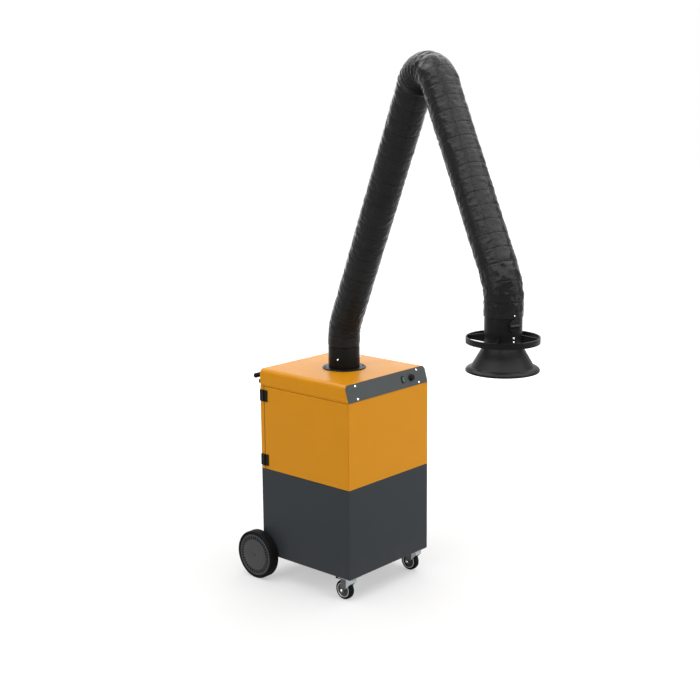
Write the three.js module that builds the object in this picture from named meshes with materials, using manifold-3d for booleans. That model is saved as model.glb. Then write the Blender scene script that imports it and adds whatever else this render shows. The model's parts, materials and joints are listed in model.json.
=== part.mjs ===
import * as THREE from 'three';
import { mergeVertices } from 'three/addons/utils/BufferGeometryUtils.js';
import Module from 'manifold-3d';

// Mobile welding fume extractor: a wheeled filter cabinet that carries a hose-covered extraction
// arm with a hood. Millimetres, +Z up. The control panel faces -Y and the filter door faces -X.

const wasm = await Module();
wasm.setup();

const degree = Math.PI / 180;

// Fits and stock
const gap = 0.3; // running and seating clearance
const sheet = 2; // cabinet sheet
const fine = 32; // sides of a large round piece
const medium = 24; // sides of a smaller or hidden one
const coarse = 12; // sides of a pin or shaft

// Cabinet
const cabinetWidth = 600;
const cabinetDepth = 600;
const baseHeight = 458;
const upperHeight = 432;
const flangeWidth = 25;

// Cap
const capHeight = 86;
const capBend = 25; // bend radius of its long top edges
const seamHeight = 7; // shadow line above the door
const seamInset = 3;
const frontSlant = 16.9 * degree;
const windowMargin = 20; // rim left round the opening behind the panel

// Control panel
const panelThickness = 2.5;
const panelMargin = 1.6;
const panelCorner = 22;
const controlsHeight = 45; // up the slant
const switchOffset = 116; // from the middle of the panel
const switchWidth = 24;
const switchHeight = 34;
const switchRim = 3;
const bezelThickness = 2;
const switchDepth = 24;
const rockerRise = 4;
const selectorOffset = 177;
const selectorRadius = 18;
const selectorHeight = 17;
const selectorChamfer = 2;
const selectorGripInset = 4;
const selectorShaftRadius = 3;
const selectorShaftLength = 14;

// Door
const doorDepth = 18;
const doorGap = 1.2;
const doorLip = 16;
const stileWidth = 26; // fixed strip between the door and the rear corner
const sealThickness = 2.4;
const sealWidth = 10;
const sealInset = 3;
const frameLap = 30; // door frame behind the door's edges
const hingeInset = 47; // hinge centre from the door's ends
const hingeHeight = 58;
const hingeLeafWidth = 25;
const hingeLeafThickness = 5;
const hingeKnuckleRadius = 5.5;
const hingePinRadius = 3;

// Filters
const filterLength = 500;
const filterWidth = 470;
const filterHeight = 250;
const filterWall = 10;
const pleatCount = 14;
const pleatThickness = 5;
const preFilterHeight = 24;
const preFilterRim = 20;
const preFilterRows = 4;
const preFilterBar = 8;
const filterSeatHeight = 12;
const filterSeatWidth = 30;

// Fan
const inletRadius = 112; // hole in the fan deck
const bellThickness = 2;
const bellDepth = 40;
const eyeRadius = 92;
const impellerRadius = 165;
const impellerHeight = 96;
const impellerPlate = 3;
const shroudDrop = 26;
const eyeOverlap = 5;
const bladeCount = 8;
const bladeThickness = 4;
const hubRadius = 30;
const fanShaftRadius = 12;
const fanShaftReach = 32;
const motorRadius = 82;
const motorHeight = 190;
const motorRibs = 12;
const motorRibDepth = 8;
const motorGap = 8;
const pedestalWidth = 240;
const pedestalSheet = 4;

// Exhaust and cable inlet in the rear wall
const grilleWidth = 360;
const grilleHeight = 170;
const grilleLift = 230;
const grilleRim = 20;
const grilleThickness = 2.5;
const slatCount = 8;
const glandRadius = 13;
const glandBore = 5;
const glandLength = 24;
const glandOffset = 230;
const glandLift = 90;

// Push handle
const handleRadius = 12.5;
const handleWall = 2.5;
const handleInset = 20; // bar ends in from the cabinet's sides
const handleReach = 50; // bar axis behind the rear wall
const handleDrop = 45; // bar axis below the cap's top
const handleArmWidth = 8;
const handleArmInset = 26;
const handleFootWidth = 58;
const handleFootHeight = 20;
const handleFootDepth = 12;
const handleFootDrop = 20;

// Rear wheels
const wheelRadius = 125;
const wheelWidth = 52;
const wheelGap = 8;
const tyreDepth = 19;
const tyreShoulder = 9;
const tyreSides = 40;
const hubWeb = 8;
const hubDiscRadius = 81;
const hubGroove = 13;
const hubGrooveDepth = 4;
const hubBossRadius = 22;
const axleRadius = 10;
const axleSetback = 12;
const axleEarThickness = 6;
const axleEarInset = 40;
const axleFootHeight = 60;
const axleFootThickness = 5;

// Front casters
const casterHeight = 126;
const casterRadius = 50;
const casterWidth = 32;
const casterTread = 9;
const casterTrail = 32;
const casterSideInset = 47;
const casterFrontInset = 43;
const casterPlateWidth = 86;
const casterPlateLength = 82;
const casterPlateThickness = 4;
const casterHeadRadius = 26;
const casterHeadHeight = 9;
const kingpinRadius = 6;
const kingpinHeadRadius = 10;
const kingpinHeadHeight = 6;
const forkSheet = 4;
const forkLength = 52;
const casterBoltRadius = 5;
const casterBoltHead = 8;
const casterBoltHeadHeight = 5;
const casterEnd = 13; // rounded lower end of the fork legs
const pedalReach = 44;
const pedalWidth = 40;
const pedalThickness = 6;
const pedalToe = 2; // turned down at the tread's front edge
const pedalLip = 1; // raised along it
const pedalPivotReach = 34;
const pedalPivotDrop = 6;
const pedalHubRadius = 5;
const pedalPinRadius = 2.5;

// Arm carrier
const armYaw = -21.5 * degree;
const swivelFlangeRadius = 110;
const swivelFlangeThickness = 5;
const sleeveWall = 3;
const sleeveLength = 30;
const sleeveDrop = 30;
const collarRadius = 79;
const collarHeight = 110;
const collarGroove = 4; // bare spigot between the collar and the hose
const spigotRadius = 76.5;
const spigotWall = 3;
const spigotLength = 20;

// Arm geometry
const shoulderHeight = 201; // pivot above the cap's top
const lowerRun = 1604;
const lowerLean = 31.4 * degree; // from vertical
const upperRun = 1136;
const upperLean = 33 * degree; // from vertical
const elbowBend = 128; // bend radii of the hose's centre line
const endBend = 250;
const hoodBend = 190;
const hoodDrop = 117; // hose end below the hood pivot

// Hose
const hoseSides = 16;
const hoseWall = 1.8;
const ribHeight = 2;
const ribPitch = 63;
const bendSpare = 60; // straight hose that bends with the shoulder and the hood
const elbowSpare = 100;
const boreEvery = 5;

// Inner links and pivots
const linkWidth = 26;
const linkDepth = 32;
const linkWall = 2;
const knuckleRadius = 19;
const neckReach = 52;
const forkPlate = 5;
const forkReach = 110;
const forkWidth = 36;
const tubeSetback = 46;
const pivotBoltRadius = 6;
const pivotHeadRadius = 10;
const pivotHeadHeight = 6;
const yokeBar = 8;
const yokeDepth = 40;
const yokeDrop = 60; // crossbar below the collar's top

// Hood
const neckLength = 121; // from the hose end down to the cone
const bearingLap = 18;
const coneHeight = 82;
const coneRadius = 127;
const coneWall = 2.5;
const coneLap = 10;
const lipRadius = 150;
const lipHeight = 20;
const ringRadius = 150;
const ringHeight = 22;
const ringThickness = 5;
const ringDrop = 96; // ring centre below the hose end
const spokeCount = 4;
const spokeWidth = 16;
const spokeThickness = 4;
const spokeFoot = 24;
const damperDrop = 29; // damper shaft below the hose end
const damperThickness = 2;
const damperGap = 1.5;
const damperShaftRadius = 4;
const damperHubWall = 3;
const damperHubInset = 4;
const damperKnobRadius = 27;
const damperKnobHeight = 7;
const damperGripHeight = 9;
const damperGripWidth = 12;
const damperGripInset = 3;

// Levels and lines worked out from the sizes above
const halfWidth = cabinetWidth / 2;
const halfDepth = cabinetDepth / 2;
const baseBottom = casterHeight;
const splitZ = baseBottom + baseHeight;
const capSeamZ = splitZ + upperHeight;
const capTopZ = capSeamZ + capHeight;
const seamY = halfDepth - stileWidth;
const frameX = -halfWidth + doorDepth + sealThickness + 2 * gap;
const hingeX = -halfWidth - gap - hingeKnuckleRadius;
const collarTopZ = capTopZ + collarHeight;
const hoseStartZ = collarTopZ + collarGroove;
const deckTop = splitZ + gap + sheet;

// Finishes
const finish = (color, roughness, metalness) =>
  new THREE.MeshStandardMaterial({ color, roughness, metalness });
const orangePaint = finish(0xc8841a, 0.45, 0);
const greyPaint = finish(0x3a3e40, 0.5, 0);
const blackPaint = finish(0x1c1b1a, 0.4, 0);
const hoseCloth = finish(0x262626, 0.55, 0);
const bareSteel = finish(0xa9adb0, 0.35, 1);
const zincSteel = finish(0x7d8083, 0.4, 1);
const blackPlastic = finish(0x141414, 0.5, 0);
const hubPlastic = finish(0x47474a, 0.55, 0);
const greenPlastic = finish(0x2f7a48, 0.4, 0);
const tyreRubber = finish(0x121212, 0.75, 0);
const sealRubber = finish(0x1a1a1a, 0.8, 0);
const filterMedia = finish(0xd8d5c8, 0.9, 0);
const castMetal = finish(0x6c7072, 0.55, 0.6);

// One closed, outward facing body: shared vertices merged, collapsed triangles dropped
function closed(geometry) {
  const bare = new THREE.BufferGeometry();
  bare.setAttribute('position', geometry.getAttribute('position'));
  bare.setIndex(geometry.index);
  const merged = mergeVertices(bare, 1e-4);
  const position = merged.getAttribute('position');
  const corners = [0, 1, 2].map(() => new THREE.Vector3());
  const triangles = [];
  let volume = 0;
  for (let i = 0; i < merged.index.count; i += 3) {
    const [a, b, c] = [0, 1, 2].map((k) => merged.index.getX(i + k));
    if (a === b || b === c || c === a) continue;
    triangles.push([a, b, c]);
    [a, b, c].forEach((v, k) => corners[k].fromBufferAttribute(position, v));
    volume += corners[0].dot(corners[1].cross(corners[2]));
  }
  const facing = volume < 0 ? triangles.map(([a, b, c]) => [a, c, b]) : triangles;
  merged.setIndex(facing.flat());
  merged.computeVertexNormals();
  return merged;
}

// Solids for cutting and joining, and back to a mesh
function solidOf(geometry) {
  const body = closed(geometry);
  return new wasm.Manifold(new wasm.Mesh({
    numProp: 3,
    vertProperties: Float32Array.from(body.getAttribute('position').array),
    triVerts: Uint32Array.from(body.index.array),
  }));
}

function meshOf(solid) {
  const { vertProperties, triVerts } = solid.getMesh();
  const geometry = new THREE.BufferGeometry();
  geometry.setAttribute('position', new THREE.BufferAttribute(vertProperties, 3));
  geometry.setIndex(new THREE.BufferAttribute(triVerts, 1));
  geometry.computeVertexNormals();
  return geometry;
}

const join = (...pieces) => meshOf(pieces.map(solidOf).reduce((a, b) => a.add(b)));
const cut = (piece, ...tools) =>
  meshOf(tools.map(solidOf).reduce((a, b) => a.subtract(b), solidOf(piece)));
const overlapOf = (a, b) => meshOf(solidOf(a).intersect(solidOf(b)));

// Plain forms
const block = (x0, x1, y0, y1, z0, z1) =>
  new THREE.BoxGeometry(x1 - x0, y1 - y0, z1 - z0)
    .translate((x0 + x1) / 2, (y0 + y1) / 2, (z0 + z1) / 2);

const roundZ = (radius, z0, z1, sides = coarse) =>
  new THREE.CylinderGeometry(radius, radius, z1 - z0, sides)
    .rotateX(Math.PI / 2)
    .translate(0, 0, (z0 + z1) / 2);

const roundX = (radius, x0, x1, sides = coarse) => roundZ(radius, x0, x1, sides).rotateY(Math.PI / 2);

const roundY = (radius, y0, y1, sides = coarse) => roundZ(radius, y0, y1, sides).rotateX(-Math.PI / 2);

// Body of revolution about Z from [radius, height] pairs that start and end on the axis
const revolve = (profile, sides = fine) =>
  closed(new THREE.LatheGeometry(profile.map(([r, z]) => new THREE.Vector2(r, z)), sides)
    .rotateX(Math.PI / 2));

// The same for a ring, whose profile closes on itself
const revolveRing = (profile, sides = fine) => revolve([...profile, profile[0]], sides);

const outline = (points) => new THREE.Shape(points.map(([x, y]) => new THREE.Vector2(x, y)));

// A flat shape given thickness along +Z
const slab = (shape, thickness, curveSegments = 6) =>
  new THREE.ExtrudeGeometry(shape, { depth: thickness, bevelEnabled: false, curveSegments });

// A shape in the YZ plane given thickness along X, from x0 to x1
const slabX = (shape, x0, x1, curveSegments = 6) =>
  slab(shape, x1 - x0, curveSegments).rotateX(Math.PI / 2).rotateZ(Math.PI / 2).translate(x0, 0, 0);

function piece(parent, name, geometry, material) {
  const mesh = new THREE.Mesh(geometry, material);
  mesh.name = name;
  parent.add(mesh);
  return mesh;
}

function subgroup(parent, x, y, z) {
  const group = new THREE.Group();
  group.position.set(x, y, z);
  parent.add(group);
  return group;
}

const extractor = new THREE.Group();

// Grey base: bottom, four walls, a flange at the top and the exhaust opening in the rear wall
function baseShell() {
  const body = block(-halfWidth, halfWidth, -halfDepth, halfDepth, baseBottom, splitZ);
  const inside = block(
    -halfWidth + sheet, halfWidth - sheet,
    -halfDepth + sheet, halfDepth - sheet,
    baseBottom + sheet, splitZ - sheet,
  );
  const mouth = block(
    -halfWidth + flangeWidth, halfWidth - flangeWidth,
    -halfDepth + flangeWidth, halfDepth - flangeWidth,
    splitZ - 2 * sheet, splitZ + sheet,
  );
  const exhaustX = grilleWidth / 2 - grilleRim;
  const exhaustZ = grilleHeight / 2 - grilleRim;
  const exhaust = block(
    -exhaustX, exhaustX,
    halfDepth - 2 * sheet, halfDepth + sheet,
    baseBottom + grilleLift - exhaustZ, baseBottom + grilleLift + exhaustZ,
  );
  return cut(body, inside, mouth, exhaust);
}

// Orange upper shell: front, right and rear walls, the fixed strip beside the door and the door frame
function upperShell() {
  const [low, high] = [splitZ + gap, capSeamZ - gap];
  const body = block(-halfWidth, halfWidth, -halfDepth, halfDepth, low, high);
  const doorRecess = block(
    -halfWidth - sheet, frameX,
    -halfDepth + sheet, seamY,
    low - sheet, high + sheet,
  );
  const inside = block(
    frameX + sheet, halfWidth - sheet,
    -halfDepth + sheet, halfDepth - sheet,
    low - sheet, high + sheet,
  );
  const behindStile = block(
    -halfWidth + sheet, frameX + 2 * sheet,
    seamY + sheet, halfDepth - sheet,
    low - sheet, high + sheet,
  );
  const doorway = block(
    frameX - sheet, frameX + 2 * sheet,
    -halfDepth + sheet + frameLap, seamY - frameLap,
    splitZ + frameLap, capSeamZ - frameLap,
  );
  return cut(body, doorRecess, inside, behindStile, doorway);
}

const cabinetShells = subgroup(extractor, 0, 0, 0);
piece(cabinetShells, 'base_shell', baseShell(), greyPaint);
piece(cabinetShells, 'upper_shell', upperShell(), orangePaint);

// Cap: a folded lid with rounded long edges, a shadow line above the door and a slanted front
function capOutline(inset) {
  const [w, h, r] = [halfWidth - inset, capHeight - inset, capBend - inset];
  const foot = halfWidth - seamInset - inset;
  const shape = new THREE.Shape();
  shape.moveTo(-foot, 0);
  shape.lineTo(-foot, seamHeight);
  shape.lineTo(-w, seamHeight + seamInset);
  shape.absarc(-w + r, h - r, r, Math.PI, Math.PI / 2, true);
  shape.absarc(w - r, h - r, r, Math.PI / 2, 0, true);
  shape.lineTo(w, seamHeight + seamInset);
  shape.lineTo(foot, seamHeight);
  shape.lineTo(foot, 0);
  shape.closePath();
  return shape;
}

function capHollow(inset) {
  const depth = cabinetDepth - 2 * inset;
  const body = slab(capOutline(inset), depth).rotateX(Math.PI / 2).translate(0, depth / 2, 0);
  const inFront = block(-cabinetWidth, cabinetWidth, -cabinetDepth, 0, -cabinetDepth, cabinetDepth)
    .rotateX(-frontSlant)
    .translate(0, -halfDepth + inset / Math.cos(frontSlant), 0);
  return cut(body, inFront);
}

const slantLength = capHeight / Math.cos(frontSlant);

function cap() {
  const inside = join(
    capHollow(sheet),
    block(
      -halfWidth + seamInset + sheet, halfWidth - seamInset - sheet,
      -halfDepth + 2 * sheet, halfDepth - sheet,
      -sheet, sheet,
    ),
  );
  const inlet = roundZ(spigotRadius - spigotWall, capHeight - 2 * sheet, capHeight + sheet, fine);
  const panelWindow = block(
    -halfWidth + 2 * windowMargin, halfWidth - 2 * windowMargin,
    windowMargin, slantLength - windowMargin,
    -3 * sheet, sheet,
  )
    .rotateX(Math.PI / 2 - frontSlant)
    .translate(0, -halfDepth, 0);
  return cut(capHollow(0), inside, inlet, panelWindow).translate(0, 0, capSeamZ);
}

piece(cabinetShells, 'cap', cap(), orangePaint);

// Control panel and its controls, in a frame that lies on the cap's slanted front: X across, Y up
const panelFrame = subgroup(extractor, 0, -halfDepth, capSeamZ);
panelFrame.rotation.x = Math.PI / 2 - frontSlant;
const panelFront = gap + panelThickness;

function controlPanel() {
  const w = halfWidth - panelMargin;
  const [low, high] = [panelMargin, slantLength - panelMargin];
  const shape = new THREE.Shape();
  shape.moveTo(-w, low);
  shape.lineTo(w, low);
  shape.absarc(w - panelCorner, high - panelCorner, panelCorner, 0, Math.PI / 2, false);
  shape.absarc(-w + panelCorner, high - panelCorner, panelCorner, Math.PI / 2, Math.PI, false);
  shape.closePath();
  const bodyX = switchWidth / 2 - switchRim + gap;
  const bodyY = switchHeight / 2 - switchRim + gap;
  const switchHole = block(-bodyX, bodyX, -bodyY, bodyY, -panelFront, 2 * panelFront)
    .translate(switchOffset, controlsHeight, 0);
  const shaftHole = roundZ(selectorShaftRadius + gap, -panelFront, 2 * panelFront)
    .translate(selectorOffset, controlsHeight, 0);
  return cut(slab(shape, panelThickness).translate(0, 0, gap), switchHole, shaftHole);
}

piece(panelFrame, 'control_panel', controlPanel(), greyPaint);

// Rocker switch: a bezel and body through the panel, with the rocker in its pocket
const switchFrame = subgroup(panelFrame, switchOffset, controlsHeight, panelFront + gap);
const pocketX = switchWidth / 2 - switchRim - sheet / 2;
const pocketY = switchHeight / 2 - switchRim - sheet / 2;

function switchHousing() {
  const [bx, by] = [switchWidth / 2, switchHeight / 2];
  const bezel = block(-bx, bx, -by, by, 0, bezelThickness);
  const body = block(
    -bx + switchRim, bx - switchRim, -by + switchRim, by - switchRim, -switchDepth, bezelThickness,
  );
  const pocket = block(-pocketX, pocketX, -pocketY, pocketY, -switchDepth / 2, 2 * bezelThickness);
  return cut(join(bezel, body), pocket);
}

function rocker() {
  const half = pocketY - 2 * gap;
  const profile = outline([
    [-half + gap, rockerRise], [0, rockerRise - 2 * gap], [half - gap, rockerRise],
    [half - gap, -gap], [half / 2, -half / 2], [-half / 2, -half / 2], [-half + gap, -gap],
  ]);
  return slabX(profile, -pocketX + gap, pocketX - gap);
}

piece(switchFrame, 'switch_housing', switchHousing(), blackPlastic);
piece(switchFrame, 'switch_rocker', rocker(), greenPlastic);

// Selector knob: a skirted knob with a raised grip, on a shaft through the panel
function selectorKnob() {
  const skirt = selectorHeight / 3;
  const body = revolve([
    [0, 0], [selectorRadius, 0], [selectorRadius, skirt],
    [selectorRadius - selectorChamfer, skirt + selectorChamfer], [0, skirt + selectorChamfer],
  ], medium);
  const half = selectorRadius - selectorGripInset;
  const grip = block(-selectorRadius / 4, selectorRadius / 4, -half, half, skirt, selectorHeight);
  const shaft = roundZ(selectorShaftRadius, -selectorShaftLength, skirt);
  return join(body, grip, shaft);
}

const selectorFrame = subgroup(panelFrame, selectorOffset, controlsHeight, panelFront + gap);
piece(selectorFrame, 'selector_knob', selectorKnob(), blackPlastic);

// Door: a folded pan with a return lip, its seal and two block hinges
const doorLow = splitZ + doorGap;
const doorHigh = capSeamZ - doorGap;
const doorFront = -halfDepth + sheet + doorGap;
const doorRear = seamY - doorGap;

function doorPan() {
  const inner = -halfWidth + doorDepth;
  const pan = block(-halfWidth, inner, doorFront, doorRear, doorLow, doorHigh);
  const hollow = block(
    -halfWidth + sheet, inner - sheet,
    doorFront + sheet, doorRear - sheet,
    doorLow + sheet, doorHigh - sheet,
  );
  const mouth = block(
    inner - 2 * sheet, inner + sheet,
    doorFront + doorLip, doorRear - doorLip,
    doorLow + doorLip, doorHigh - doorLip,
  );
  return cut(pan, hollow, mouth);
}

function doorSeal() {
  const ringBlock = (inset, spare) => block(
    -halfWidth + doorDepth + gap - spare, frameX - gap + spare,
    doorFront + inset, doorRear - inset,
    doorLow + inset, doorHigh - inset,
  );
  return cut(ringBlock(sealInset, 0), ringBlock(sealInset + sealWidth, sheet));
}

const doorFrame = subgroup(extractor, 0, 0, 0);
piece(doorFrame, 'door', doorPan(), orangePaint);
piece(doorFrame, 'door_seal', doorSeal(), sealRubber);

// One hinge about its pin on Z: the fixed leaf has the end knuckles and the pin, the door leaf the middle
const third = hingeHeight / 3;
const leafX = hingeKnuckleRadius - hingeLeafThickness;
const knuckle = (z0, z1, spare = 0) => roundZ(hingeKnuckleRadius + spare, z0, z1);

function fixedLeaf() {
  const half = hingeHeight / 2;
  const leaf = block(leafX, hingeKnuckleRadius, 0, hingeLeafWidth, -half, half);
  const ends = join(leaf, knuckle(third / 2 + gap, half), knuckle(-half, -third / 2 - gap));
  const clear = cut(ends, knuckle(-third / 2 - gap, third / 2 + gap, gap));
  return join(clear, roundZ(hingePinRadius, -half, half));
}

function doorLeaf() {
  const half = hingeHeight / 2;
  const leaf = block(leafX, hingeKnuckleRadius, -hingeLeafWidth, 0, -half, half);
  const middle = join(leaf, knuckle(-third / 2, third / 2));
  return cut(
    middle,
    knuckle(third / 2, half + gap, gap),
    knuckle(-half - gap, -third / 2, gap),
    roundZ(hingePinRadius + gap, -hingeHeight, hingeHeight),
  );
}

for (const [place, z] of [['upper', doorHigh - hingeInset], ['lower', doorLow + hingeInset]]) {
  piece(subgroup(cabinetShells, hingeX, seamY, z), `hinge_${place}_fixed_leaf`, fixedLeaf(), blackPlastic);
  piece(subgroup(doorFrame, hingeX, seamY, z), `hinge_${place}_door_leaf`, doorLeaf(), blackPlastic);
}

// Fan deck: the plate between the filters and the fan, with a bell-shaped inlet
const bellRadius = eyeRadius - 2 * bellThickness;
const bellBottom = splitZ + gap - bellDepth;

function fanDeck() {
  const inset = sheet + gap;
  const plate = cut(
    block(frameX + inset, halfWidth - inset, -halfDepth + inset, halfDepth - inset, splitZ + gap, deckTop),
    roundZ(inletRadius, splitZ - sheet, deckTop + sheet, medium),
  );
  const bell = revolveRing([
    [inletRadius + bellThickness, deckTop],
    [inletRadius + bellThickness, splitZ + gap],
    [bellRadius, splitZ + gap - bellDepth / 2],
    [bellRadius, bellBottom],
    [bellRadius - bellThickness, bellBottom],
    [bellRadius - bellThickness, splitZ + gap - bellDepth / 3],
    [inletRadius - bellThickness, deckTop],
  ], medium);
  return join(plate, bell);
}

piece(cabinetShells, 'fan_deck', fanDeck(), zincSteel);

// Filters: a seat on the deck, the pleated cassette and the spark-arresting pre-filter on top of it
const filterMidX = (frameX + halfWidth) / 2;
const seatLow = deckTop + gap;
const filterLow = seatLow + filterSeatHeight + gap;
const preFilterLow = filterLow + filterHeight + gap;

const filterBlock = (inset, z0, z1) => block(
  -filterLength / 2 + inset, filterLength / 2 - inset,
  -filterWidth / 2 + inset, filterWidth / 2 - inset,
  z0, z1,
);

function filterSeat() {
  const high = seatLow + filterSeatHeight;
  return cut(filterBlock(0, seatLow, high), filterBlock(filterSeatWidth, seatLow - 1, high + 1));
}

function pleatedCassette() {
  const frame = cut(
    filterBlock(0, 0, filterHeight),
    filterBlock(filterWall, -filterHeight, 2 * filterHeight),
  );
  const span = filterLength - 2 * filterWall;
  const step = span / (2 * pleatCount);
  const crest = filterHeight - 2 * filterWall;
  const fold = (k, lift) => [-span / 2 + k * step, (k % 2 ? crest : filterWall) + lift];
  const counts = Array.from({ length: 2 * pleatCount + 1 }, (_, k) => k);
  const lift = pleatThickness * 4; // thickness of the steep folds measured up the filter
  const zigzag = outline([
    ...counts.map((k) => fold(k, 0)),
    ...counts.toReversed().map((k) => fold(k, lift)),
  ]);
  const reach = filterWidth - filterWall;
  const pleats = slab(zigzag, reach).rotateX(Math.PI / 2).translate(0, reach / 2, 0);
  const trimmed = overlapOf(pleats, filterBlock(filterWall / 2, 0, filterHeight));
  return join(frame, trimmed).translate(filterMidX, 0, filterLow);
}

function preFilter() {
  const high = preFilterLow + preFilterHeight;
  const cellX = (filterLength - 2 * preFilterRim + preFilterBar) / preFilterRows;
  const cellY = (filterWidth - 2 * preFilterRim + preFilterBar) / preFilterRows;
  const openings = [];
  for (let i = 0; i < preFilterRows; i += 1) {
    for (let j = 0; j < preFilterRows; j += 1) {
      const x = -filterLength / 2 + preFilterRim + i * cellX;
      const y = -filterWidth / 2 + preFilterRim + j * cellY;
      openings.push(block(
        x, x + cellX - preFilterBar,
        y, y + cellY - preFilterBar,
        preFilterLow - 1, high + 1,
      ));
    }
  }
  return cut(filterBlock(0, preFilterLow, high), ...openings).translate(filterMidX, 0, 0);
}

piece(cabinetShells, 'filter_seat', filterSeat().translate(filterMidX, 0, 0), sealRubber);
piece(cabinetShells, 'main_filter', pleatedCassette(), filterMedia);
piece(cabinetShells, 'pre_filter', preFilter(), bareSteel);

// Fan: a backward-curved impeller on the motor's shaft, under the bell
const impellerTop = bellBottom + eyeOverlap;
const impellerBottom = impellerTop - impellerHeight;
const motorTop = impellerBottom - motorGap;
const motorBottom = motorTop - motorHeight;

function impellerBlade(index) {
  const inner = eyeRadius - bladeThickness;
  const outer = impellerRadius - 2 * bladeThickness;
  const sweep = 50 * degree;
  const steps = 3;
  const edge = (k, offset) => {
    const t = k / steps;
    const angle = -sweep * t;
    const radius = inner + (outer - inner) * t;
    return [radius * Math.cos(angle) + offset, radius * Math.sin(angle) + offset];
  };
  const counts = Array.from({ length: steps + 1 }, (_, k) => k);
  const shape = outline([
    ...counts.map((k) => edge(k, 0)),
    ...counts.toReversed().map((k) => edge(k, bladeThickness * Math.SQRT1_2)),
  ]);
  const height = impellerHeight - shroudDrop - impellerPlate / 2;
  return slab(shape, height + impellerPlate)
    .translate(0, 0, impellerPlate / 2)
    .rotateZ((2 * Math.PI * index) / bladeCount);
}

function impeller() {
  const shroudHigh = impellerHeight - shroudDrop;
  const backPlate = revolve([
    [0, 0], [impellerRadius, 0], [impellerRadius, impellerPlate], [0, impellerPlate],
  ], medium);
  const shroud = revolveRing([
    [eyeRadius, impellerHeight],
    [eyeRadius, shroudHigh],
    [impellerRadius, shroudHigh],
    [impellerRadius, shroudHigh + impellerPlate],
    [eyeRadius + 3 * impellerPlate, shroudHigh + impellerPlate],
    [eyeRadius + impellerPlate, impellerHeight],
  ], medium);
  const hub = roundZ(hubRadius, -motorGap / 2, impellerHeight / 3, medium);
  const shaft = roundZ(fanShaftRadius, -motorGap - fanShaftReach, impellerHeight / 2);
  const blades = Array.from({ length: bladeCount }, (_, k) => impellerBlade(k));
  return join(backPlate, shroud, hub, shaft, ...blades).translate(0, 0, impellerBottom);
}

function fanMotor() {
  const ribShape = new THREE.Shape();
  for (let k = 0; k < motorRibs; k += 1) {
    const point = (share, radius) => {
      const angle = ((k + share) / motorRibs) * 2 * Math.PI;
      return [radius * Math.cos(angle), radius * Math.sin(angle)];
    };
    if (k === 0) ribShape.moveTo(...point(0, motorRadius));
    else ribShape.lineTo(...point(0, motorRadius));
    ribShape.lineTo(...point(0.35, motorRadius));
    ribShape.lineTo(...point(0.45, motorRadius - motorRibDepth));
    ribShape.lineTo(...point(0.9, motorRadius - motorRibDepth));
  }
  ribShape.closePath();
  const body = slab(ribShape, motorHeight - motorRibDepth * 3).translate(0, 0, motorRibDepth);
  const foot = roundZ(motorRadius, 0, motorRibDepth * 2, medium);
  const headLow = motorHeight - 2.5 * motorRibDepth;
  const head = roundZ(motorRadius - motorRibDepth / 2, headLow, motorHeight, medium);
  const bore = roundZ(fanShaftRadius + gap, motorHeight - fanShaftReach - gap, motorHeight + 1);
  return cut(join(body, foot, head), bore).translate(0, 0, motorBottom);
}

// Motor pedestal: a folded channel on the base's floor
function motorPedestal() {
  const half = pedestalWidth / 2;
  const [low, high] = [baseBottom + sheet + gap, motorBottom - gap];
  const body = block(-half, half, -half, half, low, high);
  const inside = block(
    -half + pedestalSheet, half - pedestalSheet,
    -half - 1, half + 1,
    low - 1, high - pedestalSheet,
  );
  return cut(body, inside);
}

piece(cabinetShells, 'fan_motor', fanMotor(), castMetal);
piece(cabinetShells, 'motor_pedestal', motorPedestal(), zincSteel);
piece(extractor, 'fan_impeller', impeller(), castMetal);

// Exhaust grille over the opening in the base's rear wall
function exhaustGrille() {
  const [w, h] = [grilleWidth / 2, grilleHeight / 2];
  const face = halfDepth + gap;
  const plate = block(-w, w, face, face + grilleThickness, -h, h);
  const pitch = (grilleHeight - 2 * grilleRim) / slatCount;
  const slots = Array.from({ length: slatCount }, (_, k) => {
    const z = -h + grilleRim + (k + 0.25) * pitch;
    return block(-w + grilleRim, w - grilleRim, face - 1, face + 2 * grilleThickness, z, z + pitch / 2);
  });
  return cut(plate, ...slots).translate(0, 0, baseBottom + grilleLift);
}

// Cable gland: nut and domed cap with a bore for the mains lead
function cableGland() {
  const nut = roundZ(glandRadius, 0, glandLength / 2, 6);
  const dome = revolve([
    [0, 0], [glandRadius * 0.8, 0], [glandRadius * 0.8, glandLength * 0.8],
    [glandRadius * 0.5, glandLength], [0, glandLength],
  ], coarse);
  return cut(join(nut, dome), roundZ(glandBore, -1, glandLength + 1))
    .rotateX(-Math.PI / 2)
    .translate(glandOffset, halfDepth + gap, baseBottom + glandLift);
}

piece(cabinetShells, 'exhaust_grille', exhaustGrille(), greyPaint);
piece(cabinetShells, 'cable_gland', cableGland(), blackPlastic);

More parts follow.
